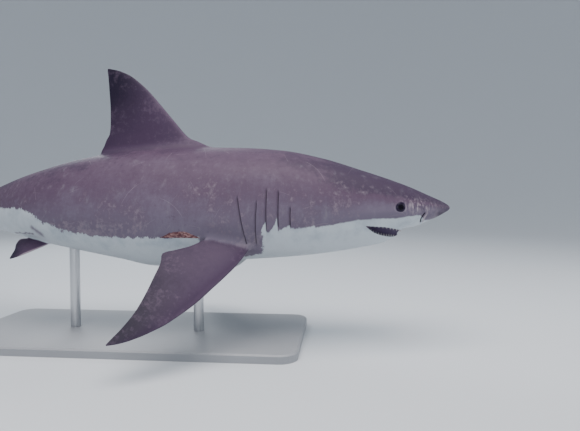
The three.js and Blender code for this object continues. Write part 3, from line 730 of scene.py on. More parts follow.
def insideLoop(points, loop):
    # even-odd test of points in a closed outline
    inside = np.zeros(len(points), bool)
    for (x0, y0), (x1, y1) in zip(loop, np.roll(loop, -1, axis=0)):
        if y0 == y1:
            continue
        crosses = (points[:, 1] > min(y0, y1)) & (points[:, 1] <= max(y0, y1))
        at = x0 + (points[:, 1] - y0) * (x1 - x0) / (y1 - y0)
        inside ^= crosses & (points[:, 0] < at)
    return inside


def trunkHalf(plans):
    # head and trunk of one half, as triangles of the unrolled skin, with holes for the fins
    grids = [finGrid(plan) for plan in plans]
    rolls = [roll for roll, _ in grids]
    *closedRolls, dorsalRoll = rolls
    outline, lines = rollOutline(), featureLines()
    zones = []
    for size in sorted({size for size, _ in lines}):
        zones.append((np.concatenate([line for s, line in lines if s == size]), size))
    zones += [(roll, grain["root"]) for roll in rolls]
    seeds = [outline]
    edges = [(i, (i + 1) % len(outline)) for i in range(len(outline))]
    count = len(outline)
    for _, line in lines:
        clear = nearest(line, np.concatenate(rolls)) > grain["root"] * grain["rootClear"]
        for roll in closedRolls:
            clear &= ~insideLoop(line, roll)
        seeds.append(line[clear])
        number = np.cumsum(clear) - 1 + count
        edges += [(number[i], number[i + 1]) for i in range(len(line) - 1) if clear[i] and clear[i + 1]]
        count += clear.sum()
    closing = []
    for roll in rolls:
        edges += [(count + i, count + i + 1) for i in range(len(roll) - 1)]
        closing.append((count + len(roll) - 1, count))
        count += len(roll)
    edges = [(int(a), int(b)) for a, b in edges + closing[:-1]]
    fixed = np.concatenate(seeds + rolls)
    fill = loosePoints(outline, fixed, zones)
    uv, faces, _ = fillOutline(fixed, fill, edges, [list(range(len(outline)))])
    centres = uv[faces].mean(axis=1)
    dorsalLoop = np.concatenate([dorsalRoll, dorsalRoll[[-1, 0]] + [0, 1]])
    gone = np.any([insideLoop(centres, loop) for loop in (*closedRolls, dorsalLoop)], axis=0)
    return uv, faces[~gone], grids


tail = {
    "blend": 3.0,       # how roundly the fins grow out of the stock
    "stockSteps": 74, "rows": 30,
    "keelFrom": 0.73, "keelRows": 13, "keelReach": 0.0078,
    "outlines": ((secondDorsal, 22), (analFin, 22), (caudalUpper, 90), (caudalLower, 74)),
    "caudalShares": (0.004, 0.015, 0.035, 0.07, 0.12, 0.18, 0.25, 0.33, 0.42, 0.52, 0.62, 0.72, 0.82, 0.91,
                     0.965, 0.99),
    "smallShares": (0.02, 0.08, 0.18, 0.32, 0.5, 0.68, 0.84, 0.95),
    "clearOfRim": 0.0016, "cell": 0.0032,
}


def finShare(plan, along, height):
    # a fin's half thickness at places in side view, zero outside its outline
    flat = plan["flat"]
    dx, dz = along - flat["at"][0], height - flat["at"][2]
    reach, across = (dx * flat[way][0] + dz * flat[way][2] for way in ("reach", "chord"))
    front, rear = edgesAt(plan, reach)
    chord = rear - front
    x = (across - front) / chord
    first, last = spanOf(plan)
    within = (reach >= first) & (reach <= last) & (x > 0) & (x < 1)
    return np.where(within, bladeHalf(plan, reach, x, chord), 0)


def bodyShare(along, height):
    # half width of the body in side view, fading out inside the tail fin
    _, side, _ = sectionPoint(along, angleOf(along, height))
    start, end = body["bodyFade"]
    fade = np.sqrt(np.clip(1 - ((along - start) / (end - start)) ** 2, 0, 1))
    inside = (height <= backAt(along)) & (height >= -bellyAt(along))
    return np.where(inside, side, 0) * np.where(along > start, fade, 1)


def tailWidth(along, height):
    parts = [bodyShare(along, height)] + [finShare(plan, along, height) for plan, _ in tail["outlines"]]
    return sum(part ** tail["blend"] for part in parts) ** (1 / tail["blend"])


def planOutline(plan, count):
    # a fin's outline in side view, from the root forward edge out to the tip and back
    first, last = spanOf(plan)
    reach = first + (last - first) * (1 - (1 - np.linspace(0, 1, count)) ** grain["outlineToTip"])
    there, back = (onFlat(plan, reach, edge) for edge in edgesAt(plan, reach))
    return np.concatenate([there, back[::-1]])[:, (0, 2)]


def planPoints(plan, rowSpacing, shares):
    # points between the edges of a fin, in side view
    first, last = spanOf(plan)
    count = max(4, int((last - first) * length / rowSpacing))
    reach = first + (last - first) * (np.arange(count) + 0.5) / count
    front, rear = edgesAt(plan, reach)
    columns = [onFlat(plan, reach, front + share * (rear - front)) for share in shares]
    return np.concatenate(columns)[:, (0, 2)]


def tailHalf():
    # tail stock and tail fins of one half, triangulated in side view
    start, end = body["tailStart"], body["bodyFade"][1]

    def column(along, heights):
        return np.stack([np.full(len(heights), along), heights], axis=-1)

    stockAlong = np.linspace(start, end, tail["stockSteps"])
    top = np.stack([stockAlong, backAt(stockAlong)], axis=-1)
    foot = np.stack([stockAlong, -bellyAt(stockAlong)], axis=-1)
    ring = column(start, sectionPoint(start, columnAngles)[2])
    outlines = [np.concatenate([foot[:-1], top[::-1][:-1], ring[::-1][:-1]])]
    outlines += [planOutline(plan, count) for plan, count in tail["outlines"]]
    loops, count = [], 0
    for loop in outlines:
        loops.append(list(range(count, count + len(loop))))
        count += len(loop)
    fixed = np.concatenate(outlines)
    angles = (np.arange(1, tail["rows"]) / tail["rows"] - 0.5) * math.pi
    fill = []
    for along in stockAlong[1:-1]:
        fill.append(column(along, sectionPoint(along, angles)[2]))
        if along > tail["keelFrom"]:
            keel = np.linspace(-1, 1, tail["keelRows"]) * tail["keelReach"]
            fill.append(column(along, -widestAt(along) + keel))
    fill += [planPoints(plan, grain["tail"], tail["caudalShares"]) for plan in (caudalUpper, caudalLower)]
    fill += [planPoints(plan, grain["smallFin"], tail["smallShares"]) for plan in (secondDorsal, analFin)]
    fill = np.concatenate(fill)
    fill = fill[nearest(fill, fixed) * length > tail["clearOfRim"]]
    # thin out what lies too close together
    _, first = np.unique(np.round(fill * length / tail["cell"]).astype(int), axis=0, return_index=True)
    fill = fill[np.sort(first)]
    flat, faces, rim = fillOutline(fixed * length, fill * length, [], loops)
    along, height = flat.T / length
    width = tailWidth(along, height)
    # the rim lies on the middle plane, apart from the ring that joins the trunk
    joined = np.abs(along - start) < 1e-7
    width[rim & ~joined] = 0
    width[joined] = bodyShare(along[joined], height[joined])
    ends = np.minimum(np.abs(height - ring[0, 1]), np.abs(height - ring[-1, 1])) < 1e-7
    width[joined & ends] = 0
    return np.stack([along, width, height], axis=-1), faces


def ringQuads(rings, around, first=0, closed=True):
    # faces between rings of points that follow one another, the first ring starting at first
    faces = []
    for low in range(first, first + (rings - 1) * around, around):
        for i in range(around if closed else around - 1):
            j = (i + 1) % around
            faces.append((low + i, low + j, low + around + j, low + around + i))
    return faces


def ringFan(first, around, tip, closed=True):
    # faces from one ring to a point
    return [(first + i, first + (i + 1) % around, tip) for i in range(around if closed else around - 1)]


def finMesh(plan, roll, rings):
    # faces between the rings of one fin, its root ring taken from the skin
    stack = np.array([skinPoints(roll)[0]] + rings)
    count, around = stack.shape[:2]
    middle = stack[-1].mean(axis=0)
    if plan["half"]:
        stack[:, (0, -1), 1] = middle[1] = 0
    faces = ringQuads(count, around, 0, not plan["half"])
    faces += ringFan((count - 1) * around, around, count * around, not plan["half"])
    angles = np.arange(around) / plan["around"] * 2 * math.pi
    out = (np.arange(count) / (count - 1))[:, None]
    place = np.stack(np.broadcast_arrays(out, (1 - np.cos(angles)) / 2, np.sin(angles)), axis=-1)
    points = np.concatenate([stack.reshape(-1, 3), [middle]])
    return points, faces, np.concatenate([place.reshape(-1, 3), [[1, 0.5, 0]]])


def skinHalf(side, plans):
    # one half of the whole skin, in straight-body points with side to the given hand
    uv, faces, grids = trunkHalf(plans)
    points, masks = skinPoints(uv)
    flat, tailFaces = tailHalf()
    parts = [(points, faces.tolist(), np.zeros_like(points)), (flat, tailFaces.tolist(), np.zeros_like(flat))]
    parts += [finMesh(plan, *grid) for plan, grid in zip(plans, grids)]
    roots = []
    for plan, grid, part in zip(plans, grids, parts[2:]):
        roots.append((part[0][:len(grid[0])] * [1, side, 1], plan["fillet"]))
    allFaces, count = [], 0
    for partPoints, partFaces, _ in parts:
        allFaces += [tuple(i + count for i in face) for face in partFaces]
        count += len(partPoints)
    masks = {name: np.pad(values, (0, count - len(points))) for name, values in masks.items()}
    masks["finPlace"] = np.concatenate([part[2] for part in parts])
    return np.concatenate([part[0] for part in parts]) * [1, side, 1], allFaces, masks, roots


def addLayer(mesh, name, values):
    values = np.asarray(values, np.float32)
    flat = values.ndim == 1
    layer = mesh.attributes.new(name, "FLOAT" if flat else "FLOAT_VECTOR", "POINT")
    layer.data.foreach_set("value" if flat else "vector", values.ravel())


def meshOf(name, points, faces, masks):
    mesh = bpy.data.meshes.new(name)
    mesh.from_pydata(points.tolist(), [], faces)
    for key, values in masks.items():
        addLayer(mesh, key, values)
    return mesh


seam = {"gap": 0.0002, "pull": 0.5, "rounds": 26}


def closeSeams(mesh, gap):
    # welds the halves and fins, and reports what is left open
    work = bmesh.new()
    work.from_mesh(mesh)
    bmesh.ops.remove_doubles(work, verts=work.verts, dist=gap)
    bmesh.ops.triangulate(work, faces=work.faces)
    bmesh.ops.dissolve_degenerate(work, dist=gap * 0.5, edges=work.edges)
    bmesh.ops.triangulate(work, faces=work.faces)
    opened = sum(len(edge.link_faces) != 2 for edge in work.edges)
    print("skin", len(work.verts), "points", len(work.faces), "faces", opened, "open edges")
    work.to_mesh(mesh)
    work.free()


def relax(points, edges, weight, rounds):
    # draws each point towards the middle of its neighbours, by its weight
    count = np.bincount(edges.ravel(), minlength=len(points)).astype(float)
    for _ in range(rounds):
        total = np.zeros_like(points)
        np.add.at(total, edges[:, 0], points[edges[:, 1]])
        np.add.at(total, edges[:, 1], points[edges[:, 0]])
        points = points + (total / np.maximum(count, 1)[:, None] - points) * weight[:, None]
    return points


def makeSkin(finish):
    right = skinHalf(-1, (pectoral, pelvic, firstDorsal))
    left = skinHalf(1, (raised(pectoral, leftPectoralRaise), pelvic, firstDorsal))
    points = np.concatenate([right[0], left[0]]) * length
    faces = right[1] + [tuple(i + len(right[0]) for i in face) for face in left[1]]
    masks = {name: np.concatenate([right[2][name], left[2][name]]) for name in right[2]}
    mesh = meshOf("sharkSkin", points, faces, masks)
    closeSeams(mesh, seam["gap"])
    straight, pairs = np.empty(len(mesh.vertices) * 3), np.empty(len(mesh.edges) * 2, int)
    mesh.vertices.foreach_get("co", straight)
    mesh.edges.foreach_get("vertices", pairs)
    straight, pairs = straight.reshape(-1, 3), pairs.reshape(-1, 2)
    weight = np.zeros(len(straight))
    for root, reach in right[3] + left[3]:
        near = inBox(straight, root * length, reach)
        away = nearest(straight[near], root * length)
        weight[near] = np.maximum(weight[near], seam["pull"] * smooth(1 - away / reach))
    place = relax(straight, pairs, weight, seam["rounds"]) / length
    along, _, height = place.T
    widest = -widestAt(along)
    addLayer(mesh, "bodyPlace", place)
    addLayer(mesh, "rise", np.clip((height - widest) / (backAt(along) - widest + 0.002), -1.5, 1.3))
    mesh.vertices.foreach_set("co", toWorld(place).astype(np.float32).ravel())
    return placed("sharkSkin", mesh, finish)


# finishes

class Field:
    # a node's output that adds and multiplies like a number
    def __init__(self, make, socket):
        self.make, self.socket = make, socket

    def part(self, name):
        # another output of the same node
        return Field(self.make, self.socket.node.outputs[name])

    def parts(self):
        split = self.make("ShaderNodeSeparateXYZ", {0: self})
        return [split.part(k) for k in range(3)]

    def calc(self, operation, other=0.0, third=0.0):
        return self.make("ShaderNodeMath", {0: self, 1: other, 2: third}, operation=operation)

    def __add__(self, other):
        return self.calc("ADD", other)

    def __sub__(self, other):
        return self.calc("SUBTRACT", other)

    def __mul__(self, other):
        return self.calc("MULTIPLY", other)

    def __rsub__(self, other):
        return self.calc("MULTIPLY_ADD", -1.0, other)

    def __pow__(self, other):
        return self.calc("POWER", other)

    def __abs__(self):
        return self.calc("ABSOLUTE")

    def step(self, low, high):
        # eased step, from 0 at low to 1 at high
        values = {"Value": self, "From Min": low, "From Max": high}
        return self.make("ShaderNodeMapRange", values, interpolation_type="SMOOTHSTEP")

    def hump(self, middle, reach):
        # 1 at the middle, easing to 0 at the reach on both sides
        return abs(self - middle).step(reach, 0.0)

    def over(self, below, above):
        # mixes two colours by this share
        values = {0: self, 6: below, 7: above}
        return self.make("ShaderNodeMix", values, 2, data_type="RGBA", blend_type="MIX")

    def stretched(self, stretch):
        return self.make("ShaderNodeMapping", {"Vector": self, "Scale": stretch})

    def noise(self, scale, detail=3.0, roughness=0.55, warp=0.0, stretch=None):
        # noise at this place, from about -0.5 to 0.5
        values = {"Vector": self.stretched(stretch) if stretch else self, "Scale": scale,
                  "Detail": detail, "Roughness": roughness, "Distortion": warp}
        return self.make("ShaderNodeTexNoise", values) - 0.5


def nodeMaker(tree):
    # makes nodes in a tree; an input is a number, a colour or another node's output
    def make(kind, inputs=None, output=0, **settings):
        made = tree.nodes.new(kind)
        for key, value in settings.items():
            setattr(made, key, value)
        for key, value in (inputs or {}).items():
            if isinstance(value, Field):
                tree.links.new(value.socket, made.inputs[key])
            else:
                made.inputs[key].default_value = value
        return Field(make, made.outputs[output])

    return make


def newMaterial(name, **sockets):
    # a principled material with its steady values on the shader's own sockets
    material = bpy.data.materials.new(name)
    material.use_nodes = True
    shader = material.node_tree.nodes["Principled BSDF"]
    for key, value in sockets.items():
        shader.inputs[key.replace("_", " ")].default_value = value
    return material, nodeMaker(material.node_tree)


def finished(material, colour, roughness=None, relief=None, strength=1.0, distance=0.0):
    # joins the colour, the roughness and the relief to the shader
    inputs = {"Base Color": colour, "Roughness": roughness}
    if relief:
        values = {"Strength": strength, "Distance": distance, "Height": relief}
        inputs["Normal"] = colour.make("ShaderNodeBump", values)
    tree = material.node_tree
    for key, value in inputs.items():
        if value:
            tree.links.new(value.socket, tree.nodes["Principled BSDF"].inputs[key])
    return material


def attributeOf(make, name, part="Fac"):
    return make("ShaderNodeAttribute", None, part, attribute_name=name)


def nearLine(along, height, start, end, wide):
    # 1 on a short line of the flank, easing to 0 beside it
    way = Vector(end) - Vector(start)
    share = way / way.length_squared
    t = (along - start[0]) * share.x + (height - start[1]) * share.y
    t = t.calc("MAXIMUM", 0.0).calc("MINIMUM", 1.0)
    gap = abs(along - start[0] - t * way.x) ** 2.0 + abs(height - start[1] - t * way.y) ** 2.0
    return (gap ** 0.5).step(wide, 0.0)


def scratchesOf(place, scale, reach, wide, share):
    # short bent lines, one in some of the cells, each at its own slant
    cell = place.make("ShaderNodeTexVoronoi", {"Vector": place, "Scale": scale}, "Position")
    x, _, z = place.make("ShaderNodeVectorMath", {0: place, 1: cell}, operation="SUBTRACT").parts()
    pick, tilt, _ = cell.part("Color").parts()
    turn = (tilt - 0.5) * 2.2
    cos, sin = turn.calc("COSINE"), turn.calc("SINE")
    run = x * cos + z * sin
    off = abs(z * cos - x * sin + run * run * 2.5)
    return off.step(wide, 0.3 * wide) * abs(run).step(reach, 0.6 * reach) * pick.step(1 - share, 1.01 - share)


hide = {
    "crown": (0.036, 0.022, 0.048, 1),
    "back": (0.084, 0.052, 0.088, 1),
    "flank": (0.142, 0.117, 0.164, 1),
    "pale": (0.28, 0.23, 0.272, 1),
    # pale scars and the nostril flap, also the painted highlights on the cheek wrinkles and round the eye
    "scarAndHighlight": (0.4, 0.34, 0.38, 1),
    "belly": (0.5, 0.545, 0.58, 1),
    "bellyShade": (0.33, 0.38, 0.43, 1),
    "fin": (0.055, 0.032, 0.066, 1),
    "finPale": (0.135, 0.092, 0.14, 1),
    "finUnder": (0.52, 0.54, 0.56, 1),
    "finTip": (0.012, 0.008, 0.022, 1),
    "rough": (0.095, 0.03, 0.038, 1),
    "roughGrain": (0.36, 0.2, 0.19, 1),
    "gum": (0.14, 0.075, 0.12, 1),
    # painted shade deep in the mouth and as a dark ring round the eye; also the colour of the snout's pores
    "throat": (0.05, 0.034, 0.075, 1),
    # painted shade in the gill slits and the nostril opening
    "slit": (0.022, 0.014, 0.03, 1),
    "noises": {  # scale, detail, roughness, warp, stretch
        "ragged": (30.0, 6.0, 0.7, 0.0, (1, 1, 0.5)),
        "fine": (150.0, 3.0, 0.7, 0.0, (1, 1, 0.5)),
        "wander": (5.0, 2.0, 0.55, 0.0, (1, 1, 0.5)),
        "fleck": (42.0, 6.0, 0.72),
        "cloud": (5.0, 4.0, 0.6, 0.0, (0.45, 1, 1)),
        # vertical bands that paint light and shade on the flank
        "lightBands": (16.0, 4.0, 0.6, 0.0, (1, 1, 0.22)),
        "shade": (9.0, 5.0, 0.62),
        "furrow": (62.0, 3.0, 0.6, 0.4, (1.5, 1, 0.35)),
        "speck": (95.0, 3.0, 0.6, 0.0, (1.3, 1, 0.5)),
        "grit": (120.0, 3.0, 0.6, 0.0, (0.5, 1, 1.5)),
        "denticles": (520.0, 3.0, 0.7),
        "wrinkle": (55.0, 5.0, 0.62, 0.0, (1.6, 1, 0.8)),
    },
    "poreScale": 125.0,
    "border": [  # along, height of the line between the dark back and the white belly
        # the first points take the dark under the snout's tip, as painted shade
        (0.0, -0.022), (0.01, -0.016), (0.0215, -0.0145), (0.03, -0.016), (0.035, -0.0158),
        (0.0388, -0.0125), (0.043, -0.009),
        (0.0568, -0.0102), (0.0697, -0.0119), (0.0958, -0.0124), (0.1211, -0.0145), (0.1465, -0.018),
        (0.1715, -0.0216), (0.2084, -0.025), (0.2339, -0.03), (0.3, -0.034), (0.3894, -0.0372),
        (0.4598, -0.037), (0.5015, -0.0322), (0.5289, -0.0256), (0.541, -0.0207), (0.548, -0.014),
        (0.557, -0.0064), (0.57, -0.0026), (0.6115, -0.0013), (0.68, -0.0045), (0.76, -0.0085),
        (0.795, -0.0125), (0.82, -0.021), (0.838, -0.2), (1.0, -0.209),
    ],
    "borderReach": 0.21,    # the curve node holds heights from minus this to zero
    "borderSoft": 0.001,
    "wander": 0.006, "ragged": 0.015, "fine": 0.005,     # how far each noise moves the border
    "whiteFlaps": [  # behind a gill slit the white starts here, rises this much and runs out
        (0.2085, 0.0065, 0.011), (0.2243, 0.016, 0.011), (0.2388, 0.016, 0.008),
    ],
    "shoulder": (0.2835, 0.039, -0.04, 0.024),   # middle, half length, level, half height
    "darkStreakAndShadowLine": [  # start, end, width
        # a short dark streak above the pelvic fin, and a thin painted shadow line where the pelvic fin's
        # inner edge leaves the body
        ((0.561, -0.0285), (0.55, -0.0368), 0.0058), ((0.6136, -0.0381), (0.566, -0.0368), 0.002),
    ],
    "roughPatch": (0.3492, 0.0272, -0.029, -0.0372),   # middle, half length, top, level foot
    "scratches": [  # scale of the cells, length, width, share of the cells, strength
        (4.0, 0.09, 0.0011, 0.32, 0.45), (9.0, 0.034, 0.0008, 0.32, 0.4),
    ],
}


def borderOf(along):
    # height of the line between back and belly
    curve = along.make("ShaderNodeFloatCurve", {"Value": along})
    mapping = curve.socket.node.mapping
    deep = hide["borderReach"]
    shape = [(a, 1 + h / deep) for a, h in hide["border"]]
    points = mapping.curves[0].points
    points[0].location, points[1].location = shape[0], shape[-1]
    for point in shape[1:-1]:
        points.new(*point)
    mapping.update()
    return curve * deep - deep


def makeHide():
    material, make = newMaterial(
        "sharkSkin", Specular_IOR_Level=0.22, IOR=1.42, Coat_Weight=0.03, Coat_Roughness=0.4)
    place = attributeOf(make, "bodyPlace", "Vector")
    along, side, height = place.parts()
    reach, chord, over = attributeOf(make, "finPlace", "Vector").parts()
    mouthMask, gillShade, nostrilShadeAndFlap, lid, rise = (
        attributeOf(make, name) for name in ("mouth", "gill", "nostril", "lid", "rise"))
    metres = place.stretched((length, length, length))
    ragged, fine, wander, fleck, cloud, lightBands, shade, furrow, speck, grit, denticles, wrinkle = (
        metres.noise(*row) for row in hide["noises"].values())

    # the dark back ends above the border, and reaches down over the shoulder
    raggedness = along.step(0.1, 0.24) * 0.75 + along.hump(0.525, 0.07) + 0.25
    border = borderOf(along) + wander * hide["wander"]
    above = height - border - (ragged * hide["ragged"] + fine * hide["fine"]) * raggedness
    for start, lift, run in hide["whiteFlaps"]:
        share = (along - start) * (1 / run)
        above = above - (1.0 - share).calc("MAXIMUM", 0.0) * share.step(-0.05, 0.06) * lift
    middle, half, level, tallness = hide["shoulder"]
    ring = abs((along - middle) * (1 / half)) ** 3.0 + abs((height - level) * (1 / tallness)) ** 3.0
    dark = above.step(-hide["borderSoft"], hide["borderSoft"])
    dark = dark.calc("MAXIMUM", (ring + ragged * 1.5 + fine * 0.6).step(1.15, 0.95))

    # colours of the back: darkest on the crown, greyer low on the flank, mottled, with vertical bands of
    # painted light and shade
    tone = rise + cloud * 1.6 + fleck * 0.8 + lightBands * 0.7 + along.step(0.2, 0.08) * (rise * 1.5 - 0.4)
    tone = tone + along.step(0.45, 0.66) * 0.3 + along.step(0.8, 0.85) * height.step(0.004, -0.02) * 1.4
    crown = tone.step(0.6, 1.1) * (0.85 - along.hump(0.31, 0.17) * 0.55)
    mottle = (cloud * 1.6 + fleck * 1.5 + lightBands - rise * 0.3).step(0.08, 0.6) * 0.7
    back = tone.step(-0.45, 0.75).over(hide["flank"], hide["back"])
    back = crown.over(back, hide["crown"])
    back = (mottle * 0.8).over(back, hide["pale"])
    back = ((fleck * 1.5 - cloud + lightBands * 0.6).step(0.22, 0.5) * 0.55).over(back, hide["crown"])
    belly = (shade + above * 6.0).step(-0.15, 0.28).over(hide["belly"], hide["bellyShade"])
    colour = dark.over(belly, back)

    # a dark streak and a painted shadow line on the white, stains, and thin old scratches
    layers = []
    for start, end, wide in hide["darkStreakAndShadowLine"]:
        # a dark streak, and a painted shadow line along the pelvic crease
        streakAndShadow = nearLine(along + fine * 0.006, height + ragged * 0.008, start, end, wide)
        layers.append((streakAndShadow * side.step(0.0, -0.002) * 0.85, back))
    stain = (fleck + fine * 0.5).step(0.13, 0.22) * above.step(-0.012, 0.0) * raggedness * 0.55
    layers.append((stain, back))
    for *shape, strength in hide["scratches"]:
        layers.append((scratchesOf(metres, *shape) * (fine + 0.6) * strength, hide["scarAndHighlight"]))

    # wrinkles with painted highlights on their ridges and painted shade in their furrows, pores and pale
    # flecks about the snout, its dark end with painted shade under its tip, a painted shadow and a painted
    # catch light round the lids, and the nostril flap
    snout = along.step(0.085, 0.05)
    cheek = along.hump(0.046, 0.028) * height.hump(0.002, 0.015)
    pores = make("ShaderNodeTexVoronoi", {"Vector": metres, "Scale": hide["poreScale"]}, "Distance")
    # the end of the snout darker, and painted shade under its tip
    shadeUnderTip = along.step(0.024, 0.014) * height.step(-0.002, -0.007)
    nose = (along.step(0.028, 0.006) * 0.7).calc("MAXIMUM", shadeUnderTip)
    below = height.step(eye["height"] + 0.004, eye["height"] - 0.003)
    layers += [
        # pale on the wrinkles' ridges as painted highlight, dark in their furrows as painted shade
        (furrow.step(0.0, 0.15) * cheek * 0.9, hide["scarAndHighlight"]),
        (furrow.step(-0.02, -0.16) * cheek * 0.5, hide["crown"]),
        ((pores + fleck * 0.5).step(0.16, 0.08) * snout * 0.5, hide["throat"]),
        (speck.step(0.05, 0.18) * snout * rise.hump(0.15, 0.6) * 0.6, hide["pale"]),
        (nose * (fine * 0.8 + 0.85), hide["crown"]),
        # a pale ring round the eye, stronger below it, is a painted catch light on the lid; the dark ring at
        # the eye's edge is a painted shadow of the lid
        ((lid + fine * 0.3).hump(0.66, 0.22) * (below * 0.16 + 0.06), hide["scarAndHighlight"]),
        (lid.step(0.78, 0.96) * 0.9, hide["throat"]),
        ((nostrilShadeAndFlap + fine * 0.4).step(-0.25, -0.8) * 0.8, hide["scarAndHighlight"]),
    ]

    # reddish rough patch behind the pectoral, with a level lower edge
    middle, half, top, foot = hide["roughPatch"]
    top = abs((along - middle) * (1 / half)) ** 2.0 * (foot - top) + top + ragged * 0.006
    patch = (top - height + fine * 0.002).step(-0.0006, 0.0008)
    patch = patch * (height + fine * 0.0008).step(foot - 0.0003, foot + 0.0003)
    layers.append((patch, grit.step(-0.05, 0.12).over(hide["rough"], hide["roughGrain"])))

    # fins: dark above and on their ends, pale below and on the edges, with a paler leading edge above as a
    # painted highlight
    tipShade = (chord * 0.45 + reach + fleck * 0.5).step(0.3, 1.15)
    # paler leading edge: a painted highlight where the front of the fin catches light
    front = chord.step(0.1, 0.0) * reach.step(0.95, 0.5) * (fleck + 0.5)
    edge = (chord.step(0.07, 0.01) + chord.step(0.9, 0.99) * reach.step(0.6, 0.35)) * along.step(0.5, 0.52)
    upper = tipShade.over(hide["fin"], hide["finTip"])
    upper = ((cloud * 1.5 + fleck * 1.4).step(0.02, 0.5) * 0.5).over(upper, hide["finPale"])
    upper = (front * 0.6).over(upper, hide["finPale"])
    upper = (edge * reach.step(0.85, 0.6) * along.step(0.66, 0.64) * 0.8).over(upper, hide["pale"])
    under = (reach + ragged * 0.2).step(0.8, 0.86).over(hide["finUnder"], hide["finTip"])
    turned = over.step(-0.05, 0.05) * height.step(0.07, 0.06)
    layers.append(((reach + ragged * 0.05).step(0.0, 0.04), turned.over(upper, under)))

    # openings: the mouth's lining darkens deeper in as painted shade, and the gill slits and the nostril get
    # painted shade
    layers += [
        # the lining at the lips, darkening deeper into the mouth as painted shade
        (mouthMask.step(0.02, 0.1), mouthMask.step(0.15, 0.75).over(hide["gum"], hide["throat"])),
        (gillShade.step(0.25, 0.8) * 0.8, hide["slit"]),
        (nostrilShadeAndFlap.step(0.15, 0.5), hide["slit"]),
    ]
    for share, paint in layers:
        colour = share.over(colour, paint)

    # denticle grain over fine wrinkles
    relief = wrinkle * 0.8 + denticles * 0.3 + patch * grit * 1.5 + furrow * cheek * 2.0
    return finished(material, colour, fleck * 0.35 + 0.52, relief, 0.45, 0.002)


eyeLook = {
    "ball": (0.008, 0.005, 0.014, 1), "ring": (0.02, 0.013, 0.036, 1), "pupil": (0.004, 0.003, 0.007, 1),
    "pupilShare": 0.42, "rings": 40, "around": 72,
}


def makeEyeFinish():
    material, make = newMaterial(
        "sharkEye", Roughness=0.24, IOR=1.36, Coat_Weight=0.1, Coat_Roughness=0.06, Specular_IOR_Level=0.2)
    spokes = attributeOf(make, "eyeSpoke", "Vector").noise(9.0)
    edge = attributeOf(make, "eyeShare") + spokes * 0.1
    iris = (spokes + 0.5).over(eyeLook["ring"], eyeLook["ball"])
    colour = edge.step(eyeLook["pupilShare"], eyeLook["pupilShare"] + 0.1).over(eyeLook["pupil"], iris)
    return finished(material, edge.step(0.8, 0.98).over(colour, eyeLook["ball"]))


def makeEye(name, side, finish):
    # a flattened ball set square to the skin, with rings out from the middle of its face
    along, angle = fromRoll(eyeRoll[None, :])
    normal = rawNormal(along, angle)[0]
    middle = np.concatenate(sectionPoint(along, angle)) - normal * (eye["sunk"] / length)
    forward = unit(np.cross(normal, [0, 0, 1]))
    axes = np.array([normal, forward, np.cross(forward, normal)])
    rings, around, deep = eyeLook["rings"], eyeLook["around"], eye["thickness"]
    tilt = math.pi * np.arange(1, rings)[:, None] / rings
    turn = 2 * math.pi * np.arange(around) / around
    radius = np.sin(tilt) * eye["radius"]

    def grid(*columns):
        return np.stack(np.broadcast_arrays(*columns, tilt + turn)[:-1], axis=-1).reshape(-1, len(columns))

    ball = grid(deep * np.cos(tilt), eye["long"] * radius * np.cos(turn), radius * np.sin(turn))
    ball = np.concatenate([[[deep, 0, 0]], ball, [[-deep, 0, 0]]])
    shares = grid(np.where(tilt < math.pi / 2, np.sin(tilt), 1.0)).ravel()
    spokes = grid(np.cos(turn) * 2, np.sin(turn) * 2, np.sin(tilt) * 0.4)
    layers = {"eyeShare": [0.0, *shares, 1.0], "eyeSpoke": np.pad(spokes, ((1, 1), (0, 0)))}
    faces = ringFan(1, around, 0) + ringQuads(rings - 1, around, 1)
    faces += ringFan(1 + (rings - 2) * around, around, len(ball) - 1)
    points = (middle + ball @ axes / length) * [1, side, 1]
    return placed(name, meshOf(name, toWorld(points), faces, layers), finish)


def placed(name, mesh, finish):
    # a smooth-shaded object at the origin, with its faces turned outwards
    work = bmesh.new()
    work.from_mesh(mesh)
    bmesh.ops.recalc_face_normals(work, faces=work.faces)
    if work.calc_volume(signed=True) < 0:
        bmesh.ops.reverse_faces(work, faces=work.faces)
    work.to_mesh(mesh)
    work.free()
    mesh.polygons.foreach_set("use_smooth", np.ones(len(mesh.polygons), bool))
    mesh.materials.clear()
    mesh.materials.append(finish)
    return linked(name, mesh)


def linked(name, data):
    made = bpy.data.objects.new(name, data)
    bpy.context.scene.collection.objects.link(made)
    return made


teeth = {
    "upper": {"line": upperLipAt, "alongs": (0.1095, 0.0652), "count": 24, "width": 0.0135, "height": 0.0125,
              "turn": -1, "seed": 4},
    "lower": {"line": lowerLipAt, "alongs": (0.108, 0.0688), "count": 24, "width": 0.009, "height": 0.012,
              "turn": 1, "seed": 9},
    "inset": 0.0026, "endSize": 0.55, "thickness": 0.005, "bury": 0.004, "lean": 4.0,
    "scatterSize": 0.08, "scatterTurn": 4.0,
    "serrations": 9, "serrationDepth": 0.05, "around": 16, "innerBulge": 0.45,
    "enamel": (0.52, 0.5, 0.49, 1), "enamelShade": (0.38, 0.35, 0.33, 1),
}


def toothArch(row):
    # the gum line from one corner of the mouth round the front to the other, in metres
    alongs = np.linspace(*row["alongs"], 160)
    heights = row["line"](alongs)
    sides = halfWidthAt(alongs, heights) - teeth["inset"]
    half = np.stack([alongs, sides, heights], axis=-1)[sides > 0]
    return toWorld(np.concatenate([half, half[::-1] * [1, -1, 1]]))


